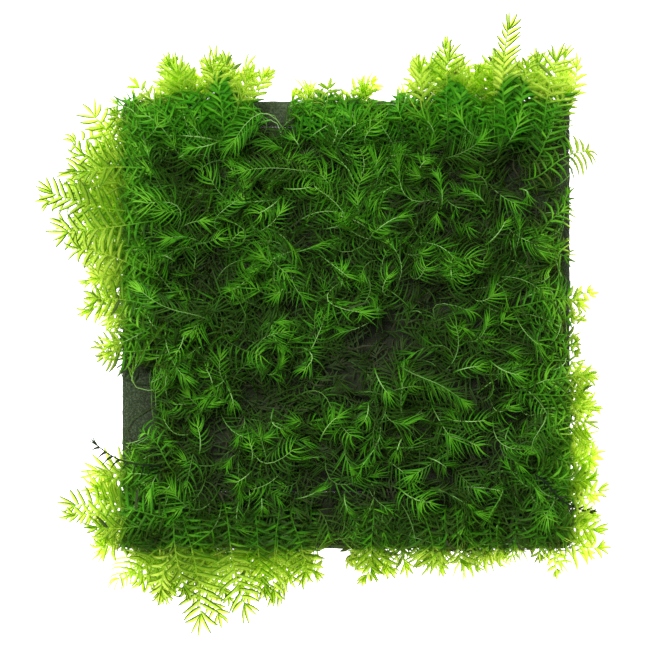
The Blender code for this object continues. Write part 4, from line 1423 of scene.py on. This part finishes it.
@dataclass
class Carpet:
    """The closely grown moss on the pad, in one piece for each of its layers."""

    edge_lean: float = 1.2
    leaf_thinning: float = 0.7
    mean_patch: float = 0.10
    waver: float = 0.7
    stretch: tuple[float, float] = (0.30, 1.25)
    behind: float = 0.35
    bow: float = 0.30
    arch: float = 0.0012
    roll: float = 0.7
    tone_spread: float = 0.08
    leaf_spread: tuple[float, float] = (0.8, 1.2)
    level_limits: tuple[float, float] = (0.04, 1.04)
    edge_band: tuple[float, float] = (CARPET_HALF - 0.012, CARPET_HALF - 0.004)
    edge_rise: float = 0.0016
    overhang: float = 0.0022
    drift_sizes: tuple[tuple[float, float], ...] = ((0.034, 0.051), (-0.047, 0.029), (0.023, -0.081))
    drift_turn: float = 1.5
    drift_start: float = 0.6

    def clump_places(self, storey: Storey, rng: np.random.Generator) -> Array:
        """Spread clumps over the pad on a jittered grid, thinner in the older patches.

        Args:
            storey: the layer.
            rng: its source of random numbers.

        Returns:
            Their places, as x and y.
        """
        count = int(2 * CARPET_HALF / storey.spacing)
        line = (np.arange(count) + 0.5) / count * 2 - 1
        grid = np.stack(np.meshgrid(line, line), axis=-1).reshape(-1, 2) * CARPET_HALF
        places = grid + rng.uniform(-0.5, 0.5, grid.shape) * storey.spacing
        chance = 1 + storey.thinning * (bell_sum(FRESH_PATCHES, places) - self.mean_patch)
        return places[rng.random(len(places)) < chance]

    def drift(self, places: Array) -> Array:
        """The angle at which the moss lies: it wanders as a sum of slow waves over the pad.

        Args:
            places: x and y in the last axis.

        Returns:
            The angle at each place, in radians.
        """
        angle = np.full(places.shape[:-1], self.drift_start)
        for number, (across, up) in enumerate(self.drift_sizes):
            phase = places[..., 0] / across + places[..., 1] / up
            angle = angle + self.drift_turn * np.sin(math.tau * phase + number)
        return angle

    def ways(self, clump: Array, step: Array) -> list[Array]:
        """The ways a shoot may take: its own, and others where that one ends in a bare place.

        Args:
            clump: where it springs.
            step: its own way, with its length.

        Returns:
            Roots and tips, of only those ways that stay on the carpet.
        """
        across = np.array((-step[1], step[0]))
        turns = (step, step * 0.6 + across * 0.8, step * 0.6 - across * 0.8, -step)
        ways = [np.stack([clump - turn * self.behind, clump + turn * (1 - self.behind)]) for turn in turns]
        return [way for way in ways if abs(way).max() < CARPET_HALF and clear_of_bare_places(way).all()]

    def grow(self, storey: Storey) -> Growth:
        """Grow one layer of seeded shoots.

        Each springs from its clump and heads nearly the way the moss lies there, though outwards
        near the edge. It rises from its root level to its tip level, both shares of the carpet's
        height there.

        Args:
            storey: the layer.

        Returns:
            The layer, with its leaves.
        """
        growth = Growth(storey.habit, np.random.default_rng(storey.seed))
        rng = growth.rng
        for clump in self.clump_places(storey, rng):
            stretch = rng.uniform(*self.stretch)
            angle = self.drift(clump) + rng.normal(0.0, self.waver)
            heading = np.array((math.cos(angle), math.sin(angle)))
            lean = self.edge_lean * 2 * (clump / CARPET_HALF) ** 3
            levels = np.array((storey.root_level * min(stretch, 1.0), storey.tip_level))
            levels += rng.normal(0, storey.spread, 2)
            ways = self.ways(clump, unit(heading + lean) * storey.length * stretch)
            if not ways:
                continue
            heights = carpet_height(ways[0]) * np.clip(levels, *self.level_limits)
            heights += self.edge_rise * smooth_step(abs(clump).max(), *self.edge_band) * levels
            low, high = np.column_stack([ways[0], FOAM_TOP + heights])
            bow, arch, roll = rng.normal(0, self.bow), rng.uniform(0, self.arch), rng.normal(0.0, self.roll)
            stem = grow_stem(low, high, None, bow, arch, roll, storey.habit.stem_steps)
            bright = rng.normal(0.0, self.tone_spread)
            fresh = storey.freshening * float(bell_sum(FRESH_PATCHES, clump))
            growth.shoot(stem, storey.leaf * rng.uniform(*self.leaf_spread), bright, fresh)
        leaves = growth.leaves()
        tips = leaves.tips()
        fresh = bell_sum(FRESH_PATCHES, (leaves.foot + tips)[:, :2] / 2)
        leaves.tone[:, 0] = np.clip(leaves.tone[:, 0] + storey.freshening * fresh, 0.0, 1.0)
        inside = np.abs(tips[:, :2]).max(axis=1) < PAD_HALF + self.overhang * storey.root_level
        grown = rng.random(len(tips)) < 1 + self.leaf_thinning * storey.thinning * fresh
        growth.add(leaves.kept(inside & grown & clear_of_bare_places(tips)))
        return growth

    def build(self, finishes: dict[Level, bpy.types.Material]) -> None:
        """Grow every layer and let the first one stand for the carpet's solid.

        Args:
            finishes: each layer's material.
        """
        for level in Level:
            solid = "moss_carpet" if level is Level.OLD else ""
            self.grow(level.value).surface.to_piece(level.value.name, finishes[level], "moss", solid)


class Side(Enum):
    """The pad's edges, by the outward way from each."""

    LEFT = (-1, 0)
    RIGHT = (1, 0)
    TOP = (0, 1)
    BOTTOM = (0, -1)


@dataclass(frozen=True)
class Band:
    """A stretch of one edge over which small shoots hang, from start to end along it.

    reach_px is how far the longest go past the edge, and count how many shoots there are.
    """

    side: Side
    start_px: float
    end_px: float
    reach_px: float
    count: int

    def spot(self, share: float, inset: float) -> tuple[Array, Array, Array]:
        """Find a place on the pad beside this stretch.

        Args:
            share: how far along the stretch it lies.
            inset: how far in from the pad's edge it lies, in metres.

        Returns:
            The place, and the ways out from the edge and along it.
        """
        out = np.array(self.side.value, float)
        way = np.array((abs(out[1]), abs(out[0])))
        at_px = self.start_px + (self.end_px - self.start_px) * share
        return way * (from_photo((at_px, at_px)) @ way) + out * (PAD_HALF - inset), out, way


BANDS = tuple(Band(side, *row) for side, rows in (
    (Side.LEFT, (
        (118, 160, 34, 6), (150, 240, 66, 22), (235, 304, 48, 12), (300, 364, 24, 4), (462, 545, 48, 15),
    )),
    (Side.BOTTOM, (
        (142, 215, 60, 15), (205, 290, 60, 18), (280, 322, 38, 9), (350, 402, 32, 11), (418, 500, 28, 16),
        (498, 560, 12, 3),
    )),
    (Side.RIGHT, (
        (368, 452, 32, 11), (452, 545, 36, 14),
    )),
    (Side.TOP, (
        (128, 165, 20, 5), (165, 252, 50, 22), (290, 378, 22, 16), (394, 412, 16, 4), (418, 500, 54, 21),
        (490, 560, 56, 20),
    )),
) for row in rows)


@dataclass(frozen=True)
class Sprig:
    """A shoot that is dressed here alone: its root and tip in the photograph's pixels.

    leaf is its leaves' length in pixels, bow its sideways curve as a share of its length, and
    tone how much brighter it is than its kind.
    """

    root_px: tuple[float, float]
    tip_px: tuple[float, float]
    leaf: float
    bow: float
    tone: float = 0.0


def sprigs(*rows: tuple[float, ...]) -> tuple[Sprig, ...]:
    """Read rows of a root's and a tip's column and row, leaf, bow and, in some, tone."""
    return tuple(Sprig(row[:2], row[2:4], *row[4:]) for row in rows)


RIM_SPRIGS = {
    Side.LEFT: sprigs(
        (150, 285, 86, 278, 17, 0.12), (150, 164, 61, 140, 17, 0.14), (140, 208, 34, 201, 19, 0.03, 0.1),
        (142, 226, 50, 224, 18, -0.05), (150, 514, 60, 513, 18, 0.04), (150, 176, 64, 171, 17, -0.12),
        (158, 335, 112, 304, 18, -0.08), (150, 195, 92, 190, 19, 0.06), (152, 245, 84, 262, 18, 0.05),
        (150, 182, 98, 148, 18, -0.10), (158, 500, 88, 482, 18, -0.08), (158, 478, 112, 470, 16, 0.06),
    ),
    Side.BOTTOM: sprigs(
        (165, 528, 128, 556, 10, -0.06), (168, 532, 136, 594, 17, -0.10),
        (182, 525, 172, 596, 18, 0.03, 0.1), (210, 525, 228, 604, 19, -0.05),
        (178, 530, 160, 604, 18, 0.10), (202, 530, 224, 628, 19, 0.08), (302, 530, 320, 584, 17, 0.05),
        (376, 532, 362, 588, 16, -0.05), (380, 532, 393, 580, 16, 0.05),
        (548, 532, 556, 580, 13, -0.04, 0.1), (200, 522, 194, 588, 18, 0.08),
        (246, 528, 240, 600, 18, -0.06), (282, 525, 292, 586, 19, 0.06), (270, 530, 282, 594, 17, -0.08),
        (350, 530, 352, 566, 13, 0.05, -0.3), (398, 532, 404, 564, 13, 0.05),
        (412, 532, 418, 572, 14, -0.06), (440, 530, 440, 578, 16, 0.05, 0.1),
        (470, 532, 477, 577, 15, 0.04, 0.1), (486, 534, 488, 562, 12, -0.06, -0.2),
        (500, 534, 504, 560, 12, 0.06, 0.1),
    ),
    Side.RIGHT: sprigs(
        (548, 440, 596, 434, 19, -0.06), (546, 455, 592, 448, 17, 0.06), (550, 466, 602, 456, 18, -0.05),
        (550, 490, 604, 494, 18, 0.08), (550, 505, 600, 536, 18, -0.06), (552, 515, 604, 514, 17, 0.05),
        (552, 408, 592, 404, 18, 0.05), (550, 372, 590, 388, 16, 0.10), (552, 360, 588, 364, 15, -0.05),
        (548, 316, 582, 318, 15, 0.06), (552, 335, 583, 337, 14, -0.05), (545, 296, 590, 306, 16, -0.06),
        (540, 255, 572, 240, 16, 0.08), (544, 225, 573, 186, 15, 0.05), (548, 302, 598, 291, 12, -0.04),
        (550, 312, 590, 322, 14, 0.05), (554, 346, 584, 354, 13, 0.04), (552, 398, 604, 411, 18, -0.05),
        (552, 484, 613, 491, 18, 0.05),
    ),
    Side.TOP: sprigs(
        (202, 120, 192, 66, 18, 0.05), (176, 118, 128, 78, 18, -0.04, 0.1), (226, 118, 222, 51, 19, 0.10),
        (222, 112, 212, 46, 20, 0.16), (188, 112, 168, 51, 23, -0.06), (250, 112, 276, 68, 13, -0.04),
        (240, 116, 256, 62, 17, 0.05, 0.1), (348, 116, 381, 78, 14, -0.30),
        (424, 116, 417, 51, 18, -0.04), (450, 118, 443, 34, 19, -0.03, 0.1),
        (554, 120, 566, 42, 19, 0.02, 0.1), (230, 120, 226, 66, 18, -0.04), (238, 120, 243, 66, 18, 0.05),
        (182, 122, 158, 78, 18, -0.08), (308, 116, 308, 82, 9, 0.05), (356, 118, 352, 86, 14, -0.06),
        (366, 118, 368, 90, 13, 0.08), (297, 118, 294, 97, 8, -0.06), (338, 116, 340, 92, 13, 0.05),
        (400, 118, 398, 88, 14, 0.05), (436, 118, 432, 60, 18, -0.06), (460, 118, 464, 58, 16, 0.06),
        (468, 118, 470, 72, 17, -0.06), (490, 118, 488, 66, 17, -0.04), (512, 116, 517, 62, 18, 0.05),
        (532, 118, 538, 50, 19, -0.06), (548, 118, 566, 60, 17, 0.06), (556, 124, 574, 100, 12, 0.05),
        (526, 118, 545, 70, 19, 0.05),
    ),
}
TOP_SPRIGS = sprigs(
    (228, 145, 151, 136, 20, 0.04, 0.1), (222, 143, 177, 154, 20, -0.06, 0.2),
    (184, 204, 140, 212, 21, 0.10, 0.2), (282, 198, 245, 225, 21, -0.06),
    (286, 190, 326, 188, 20, 0.05, 0.1), (300, 250, 240, 280, 22, 0.06, 0.05),
    (302, 262, 267, 308, 21, -0.08), (368, 230, 324, 210, 20, 0.06, 0.1), (372, 236, 414, 208, 20, -0.06),
    (486, 208, 456, 184, 20, 0.08, 0.1), (484, 246, 514, 210, 20, 0.06),
    (452, 285, 448, 244, 21, -0.05, 0.1), (518, 190, 532, 214, 17, -0.35, 0.1),
    (188, 474, 153, 500, 20, 0.06, 0.1), (252, 470, 226, 488, 18, -0.05), (240, 500, 236, 542, 20, 0.05),
    (260, 488, 264, 526, 19, -0.06), (200, 455, 198, 408, 20, 0.08), (186, 330, 172, 368, 19, -0.08),
    (272, 322, 287, 362, 21, 0.08, 0.3), (300, 346, 306, 384, 18, -0.40), (274, 408, 293, 442, 19, 0.30),
    (228, 386, 240, 420, 18, -0.06), (374, 368, 396, 408, 20, 0.06), (452, 372, 494, 362, 20, -0.05),
    (488, 360, 530, 381, 20, 0.08), (526, 450, 562, 442, 26, 0.05, 0.3),
    (432, 432, 494, 450, 21, -0.05, -0.1), (402, 436, 390, 466, 18, 0.05),
    (368, 402, 361, 432, 18, -0.06), (398, 486, 446, 508, 21, 0.10, 0.3),
    (430, 486, 480, 510, 18, -0.05, -0.2), (498, 520, 484, 548, 24, 0.06, 0.2),
    (344, 492, 352, 526, 19, 0.06), (458, 486, 514, 490, 19, -0.04), (528, 490, 547, 518, 19, 0.08, 0.1),
    (296, 497, 334, 481, 18, 0.06, -0.2), (444, 418, 500, 420, 20, 0.04),
    (426, 456, 460, 474, 19, -0.06, -0.1), (402, 178, 386, 160, 17, 0.10, 0.2),
    (416, 178, 430, 152, 19, -0.06, 0.3), (424, 138, 432, 108, 18, 0.05, 0.2),
    (340, 290, 342, 252, 20, 0.08, 0.1), (320, 440, 348, 402, 20, -0.08, 0.1),
    (252, 462, 250, 428, 19, 0.08, 0.1), (160, 330, 140, 300, 19, -0.10, 0.1),
    (176, 262, 146, 248, 19, 0.06, 0.1), (378, 318, 372, 284, 19, 0.05),
    (336, 200, 300, 180, 20, -0.06, 0.1), (440, 210, 436, 164, 21, 0.06, 0.1),
    (520, 300, 556, 284, 20, -0.05, 0.1), (214, 392, 204, 354, 20, 0.08), (170, 400, 168, 362, 18, -0.06),
    (300, 150, 284, 126, 18, 0.06, 0.1), (330, 150, 344, 116, 19, 0.06, 0.1),
    (180, 160, 200, 142, 18, 0.08, 0.3),
)


def over_carpet(root: Array, tip: Array, level: float, over: float) -> tuple[Array, Array]:
    """Set a shoot's root at a share of the carpet's height, and its tip this much over it."""
    heights = carpet_height(np.clip(np.stack([root, tip]), -CARPET_HALF, CARPET_HALF))
    return np.append(root, FOAM_TOP + heights[0] * level), np.append(tip, FOAM_TOP + heights[1] + over)


@dataclass
class Rim:
    """The shoots along the edges, which fill the fringe between those with solids."""

    habit: Habit = RIM_HABIT
    leaf: float = 0.0042
    leaf_spread: tuple[float, float] = (0.8, 1.15)
    root_inset: tuple[float, float] = (0.0015, 0.0065)
    root_level: tuple[float, float] = (0.3, 0.9)
    reach: tuple[float, float] = (0.35, 1.05)
    drop: tuple[float, float] = (-0.0030, 0.0012)
    least_height: float = 0.0095
    foot_reach: float = 0.003
    arch: float = 0.001
    roll: float = 0.40
    slant: float = 0.25
    bow: float = 0.07
    seed: int = 41

    def add_shoot(self, growth: Growth, root: Array, tip: Array, leaf: float, bow: float,
                  tone: float = 0.0) -> None:
        """Grow one shoot from the foam over the edge.

        Args:
            growth: the piece that it joins.
            root: where it leaves the carpet, as x and y.
            tip: where its last leaf ends.
            leaf: the greatest leaf length, in metres.
            bow: the sideways curve as a share of the length.
            tone: how much brighter it is than its kind.
        """
        rng = growth.rng
        root = np.clip(root, -CARPET_HALF, CARPET_HALF)
        level = FOAM_TOP + carpet_height(root) * rng.uniform(*self.root_level)
        low = np.append(root, level)
        high = np.append(tip, max(level + rng.uniform(*self.drop), self.least_height))
        end = high - unit(high - low) * TIP_LEAF_SHARE * leaf
        foot = np.append(root - unit(tip - root) * self.foot_reach, FOAM_TOP + FOOT_HEIGHT)
        arch, roll = rng.uniform(0, self.arch), rng.normal(0, self.roll)
        growth.shoot(grow_stem(low, end, foot, bow, arch, roll, self.habit.stem_steps), leaf, tone)

    def build(self, finish: bpy.types.Material) -> None:
        """Make each edge's shoots one piece: its sprigs, and seeded ones along its bands.

        Args:
            finish: the leaves' material.
        """
        for number, side in enumerate(Side):
            growth = Growth(self.habit, np.random.default_rng(self.seed + number))
            rng = growth.rng
            for sprig in RIM_SPRIGS[side]:
                root, tip = from_photo(sprig.root_px), from_photo(sprig.tip_px)
                self.add_shoot(growth, root, tip, sprig.leaf * PHOTO_PIXEL, sprig.bow, sprig.tone)
            growth.add(growth.leaves())
            for band in (band for band in BANDS if band.side is side):
                for step in range(band.count):
                    share, inset = (step + rng.uniform(0.1, 0.9)) / band.count, rng.uniform(*self.root_inset)
                    reach = band.reach_px * PHOTO_PIXEL * rng.uniform(*self.reach)
                    root, out, way = band.spot(share, inset)
                    tip = root + (out + way * rng.normal(0.0, self.slant)) * (inset + reach)
                    leaf = self.leaf * rng.uniform(*self.leaf_spread)
                    self.add_shoot(growth, root, tip, leaf, rng.normal(0, self.bow))
            growth.add_clear()
            growth.surface.to_piece(f"{side.name.lower()}_rim_growth", finish, "fringe_moss")


@dataclass
class Collar:
    """The fresh shoots that crowd over the edges and hide where the fringe springs from."""

    habit: Habit = replace(
        UPPER_HABIT, pitch=0.00110, width=0.00056, tone=0.60, thin=1.0, fan=3, fan_spread=1.3
    )
    spacing: float = 0.0030
    inset: tuple[float, float] = (0.0010, 0.0095)
    length: tuple[float, float] = (0.0045, 0.0095)
    leaf: float = 0.0050
    leaf_spread: tuple[float, float] = (0.8, 1.15)
    full_reach_px: float = 40
    reach_share: float = 0.5
    root_level: tuple[float, float] = (0.3, 0.8)
    over_top: tuple[float, float] = (0.2 * 0.0024, 0.0024)
    slant: float = 0.7
    bow: float = 0.1
    arch: float = 0.001
    roll: float = 0.5
    tone_spread: float = 0.08
    foot_tone: float = -0.20
    seed: int = 51

    def build(self, finish: bpy.types.Material) -> None:
        """Grow them along every band, in one piece.

        Args:
            finish: the leaves' material.
        """
        growth = Growth(self.habit, np.random.default_rng(self.seed))
        rng = growth.rng
        for band in BANDS:
            span = (band.end_px - band.start_px) * PHOTO_PIXEL
            count = round(2 * span / self.spacing * min(1.0, band.reach_px / self.full_reach_px))
            foot_tone = self.foot_tone if band.side is Side.BOTTOM else 0.0
            for step in range(count):
                share, inset = (step + rng.uniform(0, 1)) / count, rng.uniform(*self.inset)
                root, out, way = band.spot(share, inset)
                root = np.clip(root, -CARPET_HALF, CARPET_HALF)
                most = inset + self.reach_share * band.reach_px * PHOTO_PIXEL
                length = min(rng.uniform(*self.length), most)
                tip = root + unit(out + way * rng.normal(0, self.slant)) * length
                low, high = over_carpet(root, tip, rng.uniform(*self.root_level), rng.uniform(*self.over_top))
                leaf = self.leaf * rng.uniform(*self.leaf_spread)
                bow, arch, roll = rng.normal(0, self.bow), rng.uniform(0, self.arch), rng.normal(0, self.roll)
                stem = grow_stem(low, high, None, bow, arch, roll, self.habit.stem_steps)
                growth.shoot(stem, leaf, rng.normal(0.0, self.tone_spread) + foot_tone)
        growth.add_clear()
        growth.surface.to_piece("edge_growth", finish, "moss")


@dataclass
class TopSprigs:
    """The shoots that stand out from the carpet, each laid where the photograph shows it."""

    habit: Habit = replace(UPPER_HABIT, tone=0.60, stem=0.00014)
    fullness: float = 1.12
    root_level: float = 0.62
    over_top: float = 0.0006
    arch: float = 0.0008
    roll: float = 0.3
    stem_tone: float = 0.2
    seed: int = 61

    def build(self, finish: bpy.types.Material) -> None:
        """Grow them all into one piece.

        Args:
            finish: the leaves' material.
        """
        growth = Growth(self.habit, np.random.default_rng(self.seed))
        for sprig in TOP_SPRIGS:
            leaf = sprig.leaf * self.fullness * PHOTO_PIXEL
            ends = from_photo(sprig.root_px), from_photo(sprig.tip_px)
            low, high = over_carpet(*ends, self.root_level, self.over_top)
            end = high - unit(high - low) * TIP_LEAF_SHARE * leaf
            roll = growth.rng.normal(0, self.roll)
            stem = grow_stem(low, end, None, sprig.bow, self.arch, roll, self.habit.stem_steps)
            growth.shoot(stem, leaf, sprig.tone, self.stem_tone)
        growth.add(growth.leaves())
        growth.surface.to_piece("top_sprigs", finish, "moss")


@dataclass(frozen=True)
class Studio:
    """The light table, the soft lights over it and the camera straight above."""

    table_side: float = 4.0
    table_drop: float = 0.0001
    lens: float = 300.0
    sensor: float = 36.0
    focus_height: float = 0.004
    key_power: float = 9.0
    key_side: float = 0.35
    key_place: tuple[float, float, float] = (-0.22, 0.34, 0.75)
    sky: float = 0.35

    def build(self) -> None:
        """Set the stage, the lights, the sky and the camera."""
        half = self.table_side / 2
        corners = [(-half, -half), (half, -half), (half, half), (-half, half)]
        mesh = bpy.data.meshes.new("light_table")
        mesh.from_pydata([(x, y, -self.table_drop) for x, y in corners], [], [(0, 1, 2, 3)])
        mesh.materials.append(TableFinish().make())
        put_in_scene("light_table", mesh)

        light = bpy.data.lights.new("soft_key", "AREA")
        light.energy = self.key_power
        light.size = self.key_side
        key = put_in_scene("soft_key", light)
        key.location = self.key_place
        key.rotation_euler = (-key.location).to_track_quat("-Z", "Y").to_euler()

        scene = bpy.context.scene
        world = bpy.data.worlds.new("soft_sky")
        world.use_nodes = True
        sky = world.node_tree.nodes["Background"].inputs
        sky["Strength"].default_value = self.sky
        sky["Color"].default_value = (1.0, 1.0, 1.0, 1.0)
        scene.world = world
        scene.view_settings.view_transform = "Standard"

        camera = bpy.data.cameras.new("overhead")
        camera.lens = self.lens
        camera.sensor_width = self.sensor
        middle = from_photo((PHOTO_SIDE_PX / 2, PHOTO_SIDE_PX / 2))
        distance = PHOTO_SIDE_PX * PHOTO_PIXEL * self.lens / self.sensor
        scene.camera = put_in_scene("overhead", camera)
        scene.camera.location = (middle[0], middle[1], self.focus_height + distance)


def main() -> None:
    """Dress the pad, the line and the moss in turn, and set the studio round them."""
    logging.basicConfig(level=logging.INFO, format="%(message)s")
    Studio().build()
    FoamPad().build(FoamFinish().make())
    TieLines().build(LineFinish().make())
    fringe_finish = LeafFinish("fringe_leaf", stem=(0.10, 0.32, 0.03), hidden_stem=0.8)
    fringe = fringe_finish.make()
    upper = LeafFinish("upper_leaf").make()
    old = LeafFinish(
        "old_leaf", shaded=(0.026, 0.043, 0.012), fresh=(0.042, 0.11, 0.016), stem=(0.040, 0.050, 0.022),
        vivid=(0.026, 0.060, 0.008), thin_edge=0.0,
    ).make()
    dry = LeafFinish(
        "dry_leaf", shaded=(0.006, 0.014, 0.006), fresh=(0.02, 0.04, 0.01), stem=(0.014, 0.026, 0.010),
        vivid=(0.02, 0.04, 0.01), thin_edge=0.0,
    ).make()
    SingleShoots(FRINGE_SHOOTS, FRINGE_HABIT, "fringe_moss", fullness=1.22).build(fringe)
    SingleShoots(UPPER_SHOOTS, UPPER_HABIT, "moss", fullness=1.2, seed=101).build(upper)
    SingleShoots(DRY_SHOOTS, DRY_HABIT, "dry_moss", seed=131).build(dry)
    Carpet().build({level: old if level is Level.OLD else upper for level in Level})
    TopSprigs().build(upper)
    Rim().build(replace(fringe_finish, name="rim_leaf", outline=0.80).make())
    Collar().build(LeafFinish("edge_leaf", outline=0.6).make())


if __name__ == "__main__":
    main()
